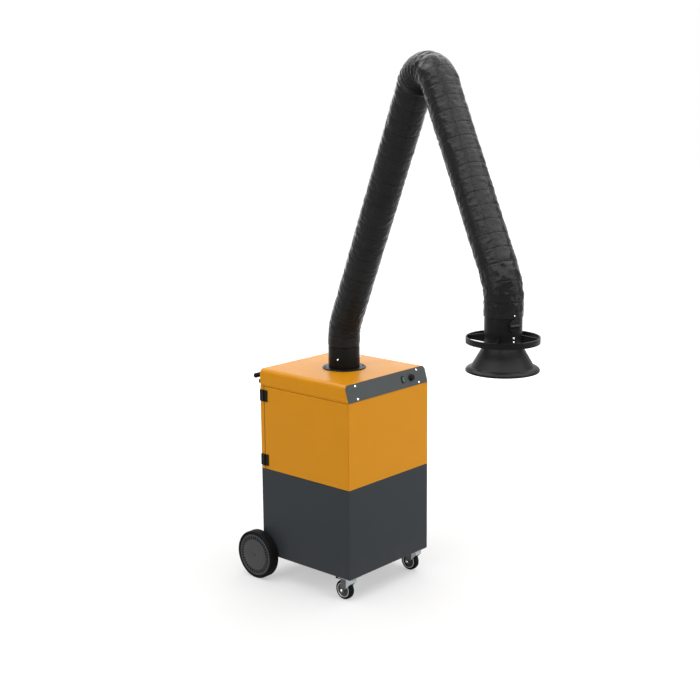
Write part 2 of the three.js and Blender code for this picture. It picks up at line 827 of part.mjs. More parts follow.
// Push handle: a tube across the back on two welded arms with feet on the cap's rear wall
function pushHandle() {
  const barY = halfDepth + handleReach;
  const barZ = capTopZ - handleDrop;
  const half = halfWidth - handleInset;
  const bar = roundX(handleRadius, -half, half, coarse).translate(0, barY, barZ);
  const bore = roundX(handleRadius - handleWall, -half - 1, half + 1, coarse).translate(0, barY, barZ);
  const wallY = halfDepth + gap;
  const footZ = barZ - handleFootDrop;
  const armLow = footZ - handleFootHeight / 2;
  const arms = [-1, 1].map((side) => {
    const arm = slabX(outline([
      [wallY, armLow], [wallY + handleFootDepth, armLow], [barY, barZ - handleRadius + handleWall / 2],
      [barY, barZ], [wallY + handleFootDepth, armLow + handleFootHeight + handleRadius],
      [wallY, armLow + handleFootHeight + handleRadius],
    ]), -handleArmWidth / 2, handleArmWidth / 2);
    const foot = block(
      -handleFootWidth / 2, handleFootWidth / 2,
      wallY, wallY + handleFootDepth,
      armLow, armLow + handleFootHeight,
    );
    return join(arm, foot).translate(side * (half - handleArmInset + handleFootWidth / 4), 0, 0);
  });
  return cut(join(bar, ...arms), bore);
}

piece(cabinetShells, 'push_handle', pushHandle(), blackPaint);

// Rear axle behind the base, in two bolted brackets, with a wheel at each end
const axleY = halfDepth + axleSetback;
const axleZ = wheelRadius;
const wheelInner = halfWidth + wheelGap;
const axleEnd = wheelInner + wheelWidth - hubWeb * 2;

piece(
  cabinetShells,
  'rear_axle',
  roundX(axleRadius, -axleEnd, axleEnd, medium).translate(0, axleY, axleZ),
  zincSteel,
);

function axleBracket(side) {
  const low = axleZ - axleRadius * 1.8;
  const foot = block(
    -axleEarInset / 2, axleEarInset / 2,
    halfDepth + gap, halfDepth + gap + axleFootThickness,
    axleZ + axleRadius + gap, axleZ + axleFootHeight,
  );
  const ear = slabX(outline([
    [halfDepth + gap, axleZ + axleFootHeight], [halfDepth + gap, low],
    [axleY + axleRadius * 1.8, low], [axleY + axleRadius * 1.8, axleZ + axleRadius],
    [halfDepth + gap + axleFootThickness, axleZ + axleFootHeight],
  ]), -axleEarThickness / 2, axleEarThickness / 2);
  const bore = roundX(axleRadius + gap, -axleEarInset, axleEarInset, medium).translate(0, axleY, axleZ);
  return cut(join(foot, ear), bore).translate(side * (halfWidth - axleEarInset), 0, 0);
}

// Wheel about Z with its inner face at z = 0: a dished hub with a ribbed ring, and the tyre round it
const rimRadius = wheelRadius - tyreDepth;
const boreDepth = axleEnd - wheelInner + gap;

function wheelHub() {
  const face = wheelWidth - hubWeb / 2;
  const grooveOut = hubDiscRadius + hubGroove;
  return revolve([
    [0, face],
    [hubDiscRadius, face],
    [hubDiscRadius, face - hubGrooveDepth],
    [grooveOut, face - hubGrooveDepth],
    [grooveOut, face],
    [rimRadius, face],
    [rimRadius, hubWeb],
    [rimRadius - hubWeb, hubWeb],
    [rimRadius - hubWeb, face - 2 * hubWeb],
    [hubBossRadius, face - 2 * hubWeb],
    [hubBossRadius, 0],
    [axleRadius + gap, 0],
    [axleRadius + gap, boreDepth],
    [0, boreDepth],
  ], medium);
}

function wheelTyre() {
  const seat = rimRadius / Math.cos(Math.PI / tyreSides) + gap;
  const side = tyreShoulder / 3;
  return revolveRing([
    [seat, hubWeb / 2], [wheelRadius - side, side],
    [wheelRadius, tyreShoulder], [wheelRadius, wheelWidth - tyreShoulder],
    [wheelRadius - side, wheelWidth - side], [seat, wheelWidth - hubWeb / 2],
  ], tyreSides);
}

for (const [name, side] of [['left', -1], ['right', 1]]) {
  piece(cabinetShells, `axle_bracket_${name}`, axleBracket(side), greyPaint);
  const wheel = subgroup(extractor, side * wheelInner, axleY, axleZ);
  wheel.rotation.y = (side * Math.PI) / 2;
  piece(wheel, `rear_hub_${name}`, wheelHub(), hubPlastic);
  piece(wheel, `rear_tyre_${name}`, wheelTyre(), tyreRubber);
}

// Casters: a swivel plate with a kingpin, a fork with its axle bolt, the wheel and a foot brake.
// Each is drawn about its swivel axis on the floor, with the wheel trailing to +Y.
const plateTop = casterHeight - gap;
const headLow = plateTop - casterPlateThickness - casterHeadHeight;
const crownTop = headLow - gap;
const crownLow = crownTop - forkSheet;
const forkInside = casterWidth / 2 + 2;
const forkOutside = forkInside + forkSheet;
const pedalPivotZ = crownTop - pedalPivotDrop;
const forkFront = -casterHeadRadius + 2;

function casterPlate() {
  const [w, l] = [casterPlateWidth / 2, casterPlateLength / 2];
  const plate = block(-w, w, -l, l, plateTop - casterPlateThickness, plateTop);
  const swivelHead = roundZ(casterHeadRadius, headLow, plateTop - casterPlateThickness + 1, medium);
  const kingpin = roundZ(kingpinRadius, crownLow - gap - 1, headLow + 1);
  const pinHead = roundZ(kingpinHeadRadius, crownLow - gap - kingpinHeadHeight, crownLow - gap, 6);
  return join(plate, swivelHead, kingpin, pinHead);
}

function casterFork() {
  const crown = block(-forkOutside, forkOutside, forkFront, casterHeadRadius, crownLow, crownTop);
  const leg = new THREE.Shape();
  const rear = forkFront + forkLength + casterEnd;
  leg.moveTo(forkFront, crownTop);
  leg.lineTo(rear, crownTop);
  leg.lineTo(rear + 2, pedalPivotZ - pedalHubRadius);
  leg.lineTo(casterTrail + casterEnd, casterRadius);
  leg.absarc(casterTrail, casterRadius, casterEnd, 0, -Math.PI, true);
  leg.lineTo(forkFront, crownLow - casterEnd);
  leg.closePath();
  const legs = [slabX(leg, forkInside, forkOutside), slabX(leg, -forkOutside, -forkInside)];
  const bolt = roundX(casterBoltRadius, -forkOutside - 1, forkOutside + 1);
  const heads = [-1, 1].map((side) => {
    const [a, b] = [side * (forkOutside - 0.5), side * (forkOutside + casterBoltHeadHeight)];
    return roundX(casterBoltHead, Math.min(a, b), Math.max(a, b), 6);
  });
  const pedalPin = roundX(pedalPinRadius, -forkOutside, forkOutside)
    .translate(0, pedalPivotReach, pedalPivotZ);
  const body = join(
    crown,
    ...legs,
    ...[bolt, ...heads].map((g) => g.translate(0, casterTrail, casterRadius)),
    pedalPin,
  );
  return cut(body, roundZ(kingpinRadius + gap, crownLow - 1, crownTop + 1));
}

function casterCentre() {
  const [half, core] = [casterWidth / 2, casterRadius - casterTread];
  return revolveRing([
    [casterBoltRadius + gap, -half - 1], [casterBoltHead + 4, -half - 1],
    [core - 6, -half + 6], [core, -half + 2], [core, half - 2],
    [core - 6, half - 6], [casterBoltHead + 4, half + 1], [casterBoltRadius + gap, half + 1],
  ], medium);
}

function casterTyre() {
  const [half, core] = [casterWidth / 2, casterRadius - casterTread];
  const seat = core / Math.cos(Math.PI / (medium)) + gap;
  return revolveRing([
    [seat, -half + 2], [casterRadius - 4, -half], [casterRadius, -half + 4], [casterRadius, half - 4],
    [casterRadius - 4, half], [seat, half - 2],
  ], medium);
}

function casterPedal() {
  const inside = forkInside - gap;
  const reach = pedalPivotReach + pedalReach;
  const lower = pedalPivotZ - pedalThickness / 2;
  const upper = lower + pedalThickness;
  const hub = roundX(pedalHubRadius, -inside, inside).translate(0, pedalPivotReach, pedalPivotZ);
  const arm = block(
    -inside, inside,
    pedalPivotReach, pedalPivotReach + pedalReach / 2,
    lower, upper,
  );
  const treadStart = pedalPivotReach + pedalReach / 2 - pedalToe;
  const tread = slabX(outline([
    [treadStart, lower], [reach - pedalToe, lower - pedalToe], [reach, lower],
    [reach, upper - pedalLip], [reach - pedalToe - pedalLip, upper + pedalLip], [treadStart, upper],
  ]), -pedalWidth / 2, pedalWidth / 2);
  const bore = roundX(pedalPinRadius + gap, -pedalWidth, pedalWidth)
    .translate(0, pedalPivotReach, pedalPivotZ);
  return cut(join(hub, arm, tread), bore);
}

for (const [name, side] of [['left', -1], ['right', 1]]) {
  const caster = subgroup(
    extractor,
    side * (halfWidth - casterSideInset),
    -halfDepth + casterFrontInset,
    0,
  );
  piece(caster, `caster_plate_${name}`, casterPlate(), zincSteel);
  piece(caster, `caster_fork_${name}`, casterFork(), zincSteel);
  piece(caster, `caster_brake_${name}`, casterPedal(), blackPlastic);
  const wheel = subgroup(caster, 0, casterTrail, casterRadius);
  wheel.rotation.y = Math.PI / 2;
  piece(wheel, `caster_wheel_${name}`, casterCentre(), hubPlastic);
  piece(wheel, `caster_tyre_${name}`, casterTyre(), tyreRubber);
}

// Arm. Its frame stands at the middle of the cap's top, turned by the yaw: the arm lies in the
// YZ plane and reaches towards -Y, with every pivot along X. Points are [reach, height].
const arm = subgroup(extractor, 0, 0, 0);
arm.rotation.z = armYaw;

const shoulder = [0, capTopZ + shoulderHeight];
const ahead = ([reach, height], heading, run) =>
  [reach + run * Math.sin(heading), height + run * Math.cos(heading)];
const elbowVertex = ahead(shoulder, lowerLean, lowerRun);
const hoodPivot = ahead(elbowVertex, Math.PI - upperLean, upperRun);

// Centre line of the hose as straight runs and arcs, walked from the collar to the hood
const elbowTurn = Math.PI - upperLean - lowerLean;
const tangent = (radius, turn) => radius * Math.tan(turn / 2);
const hoseRuns = [
  { length: shoulder[1] - hoseStartZ - tangent(endBend, lowerLean), turn: 0 },
  { length: endBend * lowerLean, turn: lowerLean },
  { length: lowerRun - tangent(endBend, lowerLean) - tangent(elbowBend, elbowTurn), turn: 0 },
  { length: elbowBend * elbowTurn, turn: elbowTurn },
  { length: upperRun - tangent(elbowBend, elbowTurn) - tangent(hoodBend, upperLean), turn: 0 },
  { length: hoodBend * upperLean, turn: upperLean },
  { length: hoodDrop - tangent(hoodBend, upperLean), turn: 0 },
];
const lengthOf = (runs) => runs.reduce((sum, run) => sum + run.length, 0);
const hoseLength = lengthOf(hoseRuns);
const runStart = (run) => lengthOf(hoseRuns.slice(0, hoseRuns.indexOf(run)));

function hosePoint(along) {
  let [point, heading, left] = [[0, hoseStartZ], 0, along];
  for (const { length, turn } of hoseRuns) {
    const share = Math.min(left / length, 1);
    const step = turn * share;
    const chord = turn ? (2 * length * Math.sin(step / 2)) / turn : length * share;
    point = ahead(point, heading + step / 2, chord);
    heading += step;
    left -= length * share;
    if (left <= 0) break;
  }
  return { point, heading };
}

// Hose: a wire helix lifts a crest every pitch, with a shallow valley between and a plain bore
const ribCount = Math.round(hoseLength / ribPitch);
const pitch = hoseLength / ribCount;
const boreRadius = (spigotRadius + gap) / Math.cos(Math.PI / hoseSides);
const valleyRadius = boreRadius + hoseWall;
const crestRadius = valleyRadius + ribHeight;

function hoseRing(along, radius) {
  const { point: [reach, height], heading } = hosePoint(along);
  return Array.from({ length: hoseSides }, (_, k) => {
    const angle = (2 * Math.PI * k) / hoseSides;
    const across = radius * Math.cos(angle);
    const out = radius * Math.sin(angle);
    return [across, -reach - out * Math.cos(heading), height - out * Math.sin(heading)];
  });
}

// From rib a to rib b, with a bore ring at every so many half pitches
function hoseSection(a, b, boreStep) {
  const [start, end] = [a * pitch + (a > 0 ? gap / 2 : 0), b * pitch - (b < ribCount ? gap / 2 : 0)];
  const steps = 2 * (b - a);
  const place = (k) => Math.min(Math.max((a + k / 2) * pitch, start), end);
  const outside = Array.from({ length: steps + 1 }, (_, k) =>
    hoseRing(place(k), k % 2 ? crestRadius : valleyRadius));
  const inside = [];
  for (let k = steps; k > 0; k -= boreStep) inside.push(hoseRing(place(k), boreRadius));
  inside.push(hoseRing(place(0), boreRadius));
  const rings = [...outside, ...inside];
  const index = [];
  rings.forEach((_, r) => {
    const [low, high] = [r * hoseSides, ((r + 1) % rings.length) * hoseSides];
    for (let k = 0; k < hoseSides; k += 1) {
      const next = (k + 1) % hoseSides;
      index.push(low + k, high + k, high + next, low + k, high + next, low + next);
    }
  });
  const geometry = new THREE.BufferGeometry();
  geometry.setAttribute('position', new THREE.Float32BufferAttribute(rings.flat(2), 3));
  geometry.setIndex(index);
  return closed(geometry);
}

const [, , lowerStraight, elbowArc, upperStraight, hoodArc] = hoseRuns;
const bendEnd = Math.ceil((runStart(lowerStraight) + bendSpare) / pitch);
const elbowStart = Math.floor((runStart(elbowArc) - elbowSpare) / pitch);
const elbowEnd = Math.ceil((runStart(upperStraight) + elbowSpare) / pitch);
const hoodBendStart = Math.floor((runStart(hoodArc) - bendSpare) / pitch);
const straightStep = 2 * boreEvery; // half pitches between bore rings
const bendStep = 1;

piece(arm, 'hose_base_bend', hoseSection(0, bendEnd, bendStep), hoseCloth);
piece(arm, 'hose_lower', hoseSection(bendEnd, elbowStart, straightStep), hoseCloth);
piece(arm, 'hose_elbow', hoseSection(elbowStart, elbowEnd, bendStep), hoseCloth);
piece(arm, 'hose_upper', hoseSection(elbowEnd, hoodBendStart, straightStep), hoseCloth);
piece(arm, 'hose_hood_bend', hoseSection(hoodBendStart, ribCount, bendStep), hoseCloth);

// Swivel: a flange and sleeve fixed to the cap, and the collar that turns on the sleeve
const boreOfSpigot = spigotRadius - spigotWall;
const sleeveRadius = boreOfSpigot * Math.cos(Math.PI / fine) - gap; // clear of the bore's flats
const flangeLow = capTopZ + gap;
const flangeHigh = flangeLow + swivelFlangeThickness;
const sleeveTop = flangeHigh + sleeveLength;

piece(cabinetShells, 'swivel_flange', revolveRing([
  [sleeveRadius - sleeveWall, flangeLow - sleeveDrop], [sleeveRadius, flangeLow - sleeveDrop],
  [sleeveRadius, flangeLow], [swivelFlangeRadius, flangeLow],
  [swivelFlangeRadius, flangeHigh], [sleeveRadius, flangeHigh],
  [sleeveRadius, sleeveTop], [sleeveRadius - sleeveWall, sleeveTop],
]), blackPaint);

piece(arm, 'arm_collar', revolveRing([
  [boreOfSpigot, flangeHigh + gap], [collarRadius, flangeHigh + gap], [collarRadius, collarTopZ],
  [spigotRadius, collarTopZ], [spigotRadius, collarTopZ + spigotLength],
  [boreOfSpigot, collarTopZ + spigotLength],
]), blackPaint);

// Pivot fittings, drawn about the pivot on X
const knuckleHigh = linkWidth / 2 - gap;
const knuckleLow = -knuckleHigh;
const pivotBore = () => roundX(pivotBoltRadius + gap, -linkWidth, linkWidth);

function pivotBolt() {
  const out = linkWidth / 2 + forkPlate + gap;
  const shank = roundX(pivotBoltRadius, -out - 1, out + 1);
  const head = roundX(pivotHeadRadius, out, out + pivotHeadHeight, 6);
  const nut = roundX(pivotHeadRadius, -out - pivotHeadHeight, -out, 6);
  return join(shank, head, nut);
}

// A fork plate's outline in YZ: round about the pivot, running down to its foot
function forkOutline(reach) {
  const half = forkWidth / 2;
  const shape = new THREE.Shape();
  shape.moveTo(half, -reach);
  shape.absarc(0, 0, half, 0, Math.PI, false);
  shape.lineTo(-half, -reach);
  shape.closePath();
  return shape;
}

const forkPlates = (reach, lap) => [
  slabX(forkOutline(reach), linkWidth / 2 - lap, linkWidth / 2 + forkPlate),
  slabX(forkOutline(reach), -linkWidth / 2 - forkPlate, -linkWidth / 2 + lap),
];

// A link along +Z: a knuckle at the origin, a square tube, and a fork at its far pivot
function armLink(length) {
  const hub = roundX(knuckleRadius, knuckleLow, knuckleHigh, medium);
  const neck = block(
    knuckleLow, knuckleHigh, -linkDepth / 2 + linkWall, linkDepth / 2 - linkWall, 0, neckReach,
  );
  const tubeEnd = length - tubeSetback;
  const tube = cut(
    block(-linkWidth / 2, linkWidth / 2, -linkDepth / 2, linkDepth / 2, neckReach - 2 * linkWall, tubeEnd),
    block(
      -linkWidth / 2 + linkWall, linkWidth / 2 - linkWall,
      -linkDepth / 2 + linkWall, linkDepth / 2 - linkWall,
      neckReach, tubeEnd + 1,
    ),
  );
  const trimmed = cut(
    join(...forkPlates(forkReach, linkWall / 2)),
    block(-linkWidth / 2, linkWidth / 2, -forkWidth, forkWidth, -tubeSetback, forkWidth),
  );
  const fork = trimmed.translate(0, 0, length);
  return cut(join(hub, neck, tube, fork), pivotBore(), pivotBore().translate(0, 0, length));
}

// Shoulder yoke: a crossbar inside the collar with two cheeks up to the pivot
function shoulderYoke() {
  const barHigh = collarTopZ - yokeDrop - shoulder[1];
  const bar = overlapOf(
    block(-collarRadius, collarRadius, -yokeDepth / 2, yokeDepth / 2, barHigh - yokeBar, barHigh),
    roundZ(boreOfSpigot - gap, barHigh - 2 * yokeBar, barHigh + yokeBar, fine),
  );
  return cut(join(bar, ...forkPlates(-barHigh + yokeBar / 2, 0)), pivotBore());
}

const elbowPivot = hosePoint(runStart(elbowArc) + elbowArc.length / 2).point;
const span = (a, b) => Math.hypot(b[0] - a[0], b[1] - a[1]);
const leanOf = (a, b) => Math.atan2(b[0] - a[0], b[1] - a[1]);

const shoulderFrame = subgroup(arm, 0, -shoulder[0], shoulder[1]);
piece(shoulderFrame, 'shoulder_yoke', shoulderYoke(), bareSteel);
piece(shoulderFrame, 'shoulder_bolt', pivotBolt(), zincSteel);

const lowerLink = subgroup(arm, 0, -shoulder[0], shoulder[1]);
lowerLink.rotation.x = leanOf(shoulder, elbowPivot);
piece(lowerLink, 'lower_arm_link', armLink(span(shoulder, elbowPivot)), bareSteel);

const upperLink = subgroup(arm, 0, -elbowPivot[0], elbowPivot[1]);
upperLink.rotation.x = leanOf(elbowPivot, hoodPivot);
piece(upperLink, 'elbow_bolt', pivotBolt(), zincSteel);
piece(upperLink, 'upper_arm_link', armLink(span(elbowPivot, hoodPivot)), bareSteel);

// Hood, in a frame at the hood pivot: the hose ends at z = -hoodDrop
const hood = subgroup(arm, 0, -hoodPivot[0], hoodPivot[1]);
const damperZ = -hoodDrop - damperDrop;
const neckBottom = -hoodDrop - neckLength;
const damperRadius = sleeveRadius - sleeveWall - damperGap;
const yokeFloor = damperZ + damperRadius + 2 * damperGap;

piece(hood, 'hood_bolt', pivotBolt(), zincSteel);

// Hood yoke: the ring that the hose is clamped on, its bearing sleeve, a crossbar and the knuckle
function hoodYoke() {
  const ringTop = yokeFloor + yokeBar;
  const ring = revolveRing([
    [sleeveRadius - sleeveWall, -hoodDrop - bearingLap], [sleeveRadius, -hoodDrop - bearingLap],
    [sleeveRadius, -hoodDrop + gap], [spigotRadius, -hoodDrop + gap], [spigotRadius, ringTop],
    [sleeveRadius - sleeveWall, ringTop],
  ]);
  const bar = overlapOf(
    block(-spigotRadius, spigotRadius, -yokeDepth / 4, yokeDepth / 4, yokeFloor, ringTop),
    roundZ(sleeveRadius - sleeveWall / 2, yokeFloor - yokeBar, ringTop + yokeBar, fine),
  );
  const stem = block(
    knuckleLow, knuckleHigh, -linkDepth / 2 + linkWall, linkDepth / 2 - linkWall, ringTop - yokeBar / 2, 0,
  );
  const hub = roundX(knuckleRadius, knuckleLow, knuckleHigh, medium);
  return cut(join(ring, bar, stem, hub), pivotBore());
}

piece(hood, 'hood_yoke', hoodYoke(), zincSteel);

// Neck tube that turns on the yoke's sleeve, with holes for the damper shaft
function hoodNeck() {
  const tube = revolveRing([
    [boreOfSpigot, neckBottom], [spigotRadius, neckBottom],
    [spigotRadius, -hoodDrop], [boreOfSpigot, -hoodDrop],
  ]);
  const bore = roundY(damperShaftRadius + gap, -lipRadius, lipRadius).translate(0, 0, damperZ);
  return cut(tube, bore);
}

// Cone with a flared lip, sleeved over the neck's lower end
function hoodCone() {
  const [top, low] = [neckBottom, neckBottom - coneHeight];
  const flare = lipRadius - coneRadius;
  const sleeveBore = spigotRadius + gap;
  return revolveRing([
    [sleeveBore, top + coneLap], [sleeveBore + coneWall, top + coneLap], [sleeveBore + coneWall, top],
    [coneRadius, low], [coneRadius + flare * 0.4, low - lipHeight * 0.3],
    [lipRadius, low - lipHeight * 0.7], [lipRadius, low - lipHeight],
    [lipRadius - 2 * coneWall, low - lipHeight], [coneRadius + flare * 0.3, low - lipHeight * 0.5],
    [coneRadius - 1.5 * coneWall, low], [boreOfSpigot, top - 2 * coneWall],
    [boreOfSpigot, top - gap], [sleeveBore, top - gap],
  ]);
}

// Ring handle: a flat hoop on spokes whose feet lie against the neck
function ringHandle() {
  const z = -hoodDrop - ringDrop;
  const half = ringHeight / 2;
  const hoop = revolveRing([
    [ringRadius - ringThickness, z - half], [ringRadius, z - half],
    [ringRadius, z + half], [ringRadius - ringThickness, z + half],
  ]);
  const seat = spigotRadius + gap;
  const spokes = Array.from({ length: spokeCount }, (_, k) => {
    const bar = block(
      seat, ringRadius - ringThickness / 2, -spokeWidth / 2, spokeWidth / 2,
      z - spokeThickness / 2, z + spokeThickness / 2,
    );
    const foot = block(
      seat, seat + spokeThickness, -spokeWidth / 2, spokeWidth / 2, z - spokeFoot / 2, z + spokeFoot / 2,
    );
    return join(bar, foot).rotateZ(((k + 0.5) * 2 * Math.PI) / spokeCount);
  });
  return join(hoop, ...spokes);
}

piece(hood, 'hood_neck', hoodNeck(), blackPaint);
piece(hood, 'hood_cone', hoodCone(), blackPaint);
piece(hood, 'ring_handle', ringHandle(), blackPaint);

// Damper: a round blade on a shaft across the neck, open at rest, with a knob on the outer side
const damper = subgroup(hood, 0, 0, damperZ);
const knobSeat = -spigotRadius - 2 * gap;

function damperBlade() {
  const blade = roundX(damperRadius, -damperThickness / 2, damperThickness / 2, fine);
  const hubHalf = damperRadius - damperHubInset;
  const hubTube = roundY(damperShaftRadius + damperHubWall, -hubHalf, hubHalf);
  return cut(
    join(blade, hubTube),
    roundY(damperShaftRadius + gap, -lipRadius, lipRadius),
  );
}

function damperKnob() {
  const disc = revolve([
    [0, 0], [damperKnobRadius - 2, 0], [damperKnobRadius, 2],
    [damperKnobRadius, damperKnobHeight], [0, damperKnobHeight],
  ], medium);
  const grip = block(
    -damperKnobRadius + damperGripInset, damperKnobRadius - damperGripInset,
    -damperGripWidth / 2, damperGripWidth / 2,
    damperKnobHeight - 1, damperKnobHeight + damperGripHeight,
  );
  const socket = roundZ(damperShaftRadius + gap, -1, damperKnobHeight);
  return cut(join(disc, grip), socket).rotateX(Math.PI / 2).translate(0, knobSeat, 0);
}

const shaftTip = knobSeat - damperKnobHeight + gap;
piece(damper, 'damper_blade', damperBlade(), bareSteel);
piece(damper, 'damper_shaft', roundY(damperShaftRadius, shaftTip, spigotRadius), zincSteel);
piece(damper, 'damper_knob', damperKnob(), blackPlastic);

// Origin on the floor at the middle of the whole machine's bounding box
extractor.updateMatrixWorld(true);
const bounds = new THREE.Box3().setFromObject(extractor, true);
const middle = bounds.getCenter(new THREE.Vector3());
extractor.position.set(-middle.x, -middle.y, -bounds.min.z);
extractor.updateMatrixWorld(true);

export default extractor;
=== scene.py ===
import json
import math

import bmesh
import bpy
import numpy as np
from mathutils import Matrix, Vector


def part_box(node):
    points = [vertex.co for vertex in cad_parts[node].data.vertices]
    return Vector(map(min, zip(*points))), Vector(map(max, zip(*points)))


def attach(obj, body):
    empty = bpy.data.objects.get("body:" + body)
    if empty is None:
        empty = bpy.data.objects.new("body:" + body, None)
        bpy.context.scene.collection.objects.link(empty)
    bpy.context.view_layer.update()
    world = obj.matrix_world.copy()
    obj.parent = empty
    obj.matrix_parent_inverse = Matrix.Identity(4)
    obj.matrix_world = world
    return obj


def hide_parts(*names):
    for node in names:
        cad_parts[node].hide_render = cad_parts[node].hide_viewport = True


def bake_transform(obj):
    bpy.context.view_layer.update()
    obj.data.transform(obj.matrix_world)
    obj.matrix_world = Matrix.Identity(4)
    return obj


# Mobile fume extractor: an orange and grey filter cabinet with a hose-covered arm and a hood.
# Metres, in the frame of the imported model: +Z up, the control panel faces -Y, the door faces -X.

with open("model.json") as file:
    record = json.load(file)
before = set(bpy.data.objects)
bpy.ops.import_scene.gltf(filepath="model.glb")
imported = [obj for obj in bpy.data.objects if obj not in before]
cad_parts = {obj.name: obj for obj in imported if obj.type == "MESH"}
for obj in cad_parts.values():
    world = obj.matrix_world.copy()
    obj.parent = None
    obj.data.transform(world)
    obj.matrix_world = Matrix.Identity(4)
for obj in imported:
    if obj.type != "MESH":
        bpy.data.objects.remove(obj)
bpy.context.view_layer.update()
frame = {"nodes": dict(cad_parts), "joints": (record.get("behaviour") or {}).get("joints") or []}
nodes = frame["nodes"]
joints = {joint["name"]: joint for joint in frame["joints"]}
up = Vector((0, 0, 1))


def pivot(name):
    return Vector(joints[name]["pos_m"])


cabinetLow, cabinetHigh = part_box("base_shell")
cabinetMiddle = (cabinetLow + cabinetHigh) / 2

# The arm's own directions: its pivots lie along pivotLine and it reaches along reachLine
mast = Vector((pivot("arm_swivel").x, pivot("arm_swivel").y, 0))
pivotLine = Vector(joints["shoulder"]["axis"]).normalized()
reachLine = pivotLine.cross(up)


def armPoint(reach, height):
    return mast + reachLine * reach + up * height


def reachAndHeight(point):
    return (point - mast).dot(reachLine), point.z


# Angles spread evenly round a circle
def fullTurn(count):
    return np.linspace(0, 2 * math.pi, count, endpoint=False)


# Directions square to the mast, at angles in degrees from the arm's reach
def aroundArm(*angles):
    return [reachLine * math.cos(a) + pivotLine * math.sin(a) for a in np.radians(angles)]


# Sets the properties of a Blender object, light, node or modifier
def settle(thing, **settings):
    for key, value in settings.items():
        setattr(thing, key, value)
    return thing


def addObject(name, data):
    made = bpy.data.objects.new(name, data)
    bpy.context.scene.collection.objects.link(made)
    return made


# Camera

camera = dict(place=(-4.4141, -3.6797, 2.5158), azimuth=-49.97, elevation=12.04, lens=64.87, shift=-0.0714)

cameraData = settle(
    bpy.data.cameras.new("camera"),
    lens=camera["lens"], sensor_width=36, shift_x=camera["shift"], clip_end=60,
)
sightAngles = np.radians((90 - camera["elevation"], 0, camera["azimuth"]))
cameraObject = settle(addObject("camera", cameraData), location=camera["place"], rotation_euler=sightAngles)
bpy.context.scene.camera = cameraObject
print("camera done")


# Shader helpers

# An empty node group with the given sockets: its tree, what comes into it and the node for what goes out
def nodeGroup(name, kind, inputs, outputs):
    tree = bpy.data.node_groups.new(name, kind)
    for way, sockets in (("INPUT", inputs), ("OUTPUT", outputs)):
        for socket, value in sockets.items():
            tree.interface.new_socket(socket, in_out=way, socket_type="NodeSocket" + value)
    return tree, tree.nodes.new("NodeGroupInput").outputs, tree.nodes.new("NodeGroupOutput")


# Links or sets a node's input sockets, given by name or by number
def feed(tree, node, inputs):
    for key, value in inputs.items():
        if isinstance(value, bpy.types.NodeSocket):
            tree.links.new(value, node.inputs[key])
        else:
            node.inputs[key].default_value = value


# The output sockets of a new node with the given properties and inputs
def addNode(tree, kind, inputs=None, **settings):
    node = settle(tree.nodes.new(kind), **settings)
    feed(tree, node, inputs or {})
    return node.outputs


def mathNode(tree, operation, first, second):
    return addNode(tree, "ShaderNodeMath", {0: first, 1: second}, operation=operation)["Value"]


def mixColour(tree, share, first, second):
    return addNode(tree, "ShaderNodeMix", {0: share, 6: first, 7: second}, data_type="RGBA")[2]


# A value carried from one range to another, straight or eased
def rangeNode(tree, value, start, end, first, last, ease="LINEAR"):
    inputs = {0: value, 1: start, 2: end, 3: first, 4: last}
    return addNode(tree, "ShaderNodeMapRange", inputs, interpolation_type=ease)["Result"]


def noiseNode(tree, place, scale, detail, roughness=0.5):
    inputs = dict(Vector=place, Scale=scale, Detail=detail, Roughness=roughness)
    return addNode(tree, "ShaderNodeTexNoise", inputs)["Fac"]


# A bump from a height, over another normal where one is given
def bumpNode(tree, height, distance, strength, **under):
    inputs = dict(Height=height, Distance=distance, Strength=strength, **under)
    return addNode(tree, "ShaderNodeBump", inputs)["Normal"]


def objectPlace(tree):
    return addNode(tree, "ShaderNodeTexCoord")["Object"]


# 1 for a ray straight from the camera or of the given kinds
def seenBy(tree, *kinds):
    rays = addNode(tree, "ShaderNodeLightPath")
    seen = rays["Is Camera Ray"]
    for kind in kinds:
        seen = mathNode(tree, "MAXIMUM", seen, rays[f"Is {kind} Ray"])
    return seen


paints = {}


# The tree and shader of a new paint
def newPaint(name):
    paints[name] = made = bpy.data.materials.new(name)
    made.use_nodes = True
    return made.node_tree, made.node_tree.nodes["Principled BSDF"]


# A colour written as 0 to 255 in sRGB, as linear RGBA
def linear(red, green, blue):
    shares = [value / 255 for value in (red, green, blue)]
    return tuple(s / 12.92 if s <= 0.04045 else ((s + 0.055) / 1.055) ** 2.4 for s in shares) + (1.0,)


def scaled(colour, share):
    return tuple(min(channel * share, 1.0) for channel in colour[:3]) + (1.0,)


# Fine grain of a coat or a moulding: a bump and a slow mottle
grainTree, grainIn, grainOut = nodeGroup(
    "grain", "ShaderNodeTree",
    dict(Scale="Float", Height="Float", MottleScale="Float"), dict(Normal="Vector", Mottle="Float"),
)
grainPlace = objectPlace(grainTree)
fineNoise = noiseNode(grainTree, grainPlace, grainIn["Scale"], 3.0, 0.6)
slowNoise = noiseNode(grainTree, grainPlace, grainIn["MottleScale"], 5.0, 0.55)
grainBump = bumpNode(grainTree, fineNoise, grainIn["Height"], 0.9)
feed(grainTree, grainOut, dict(Normal=grainBump, Mottle=slowNoise))

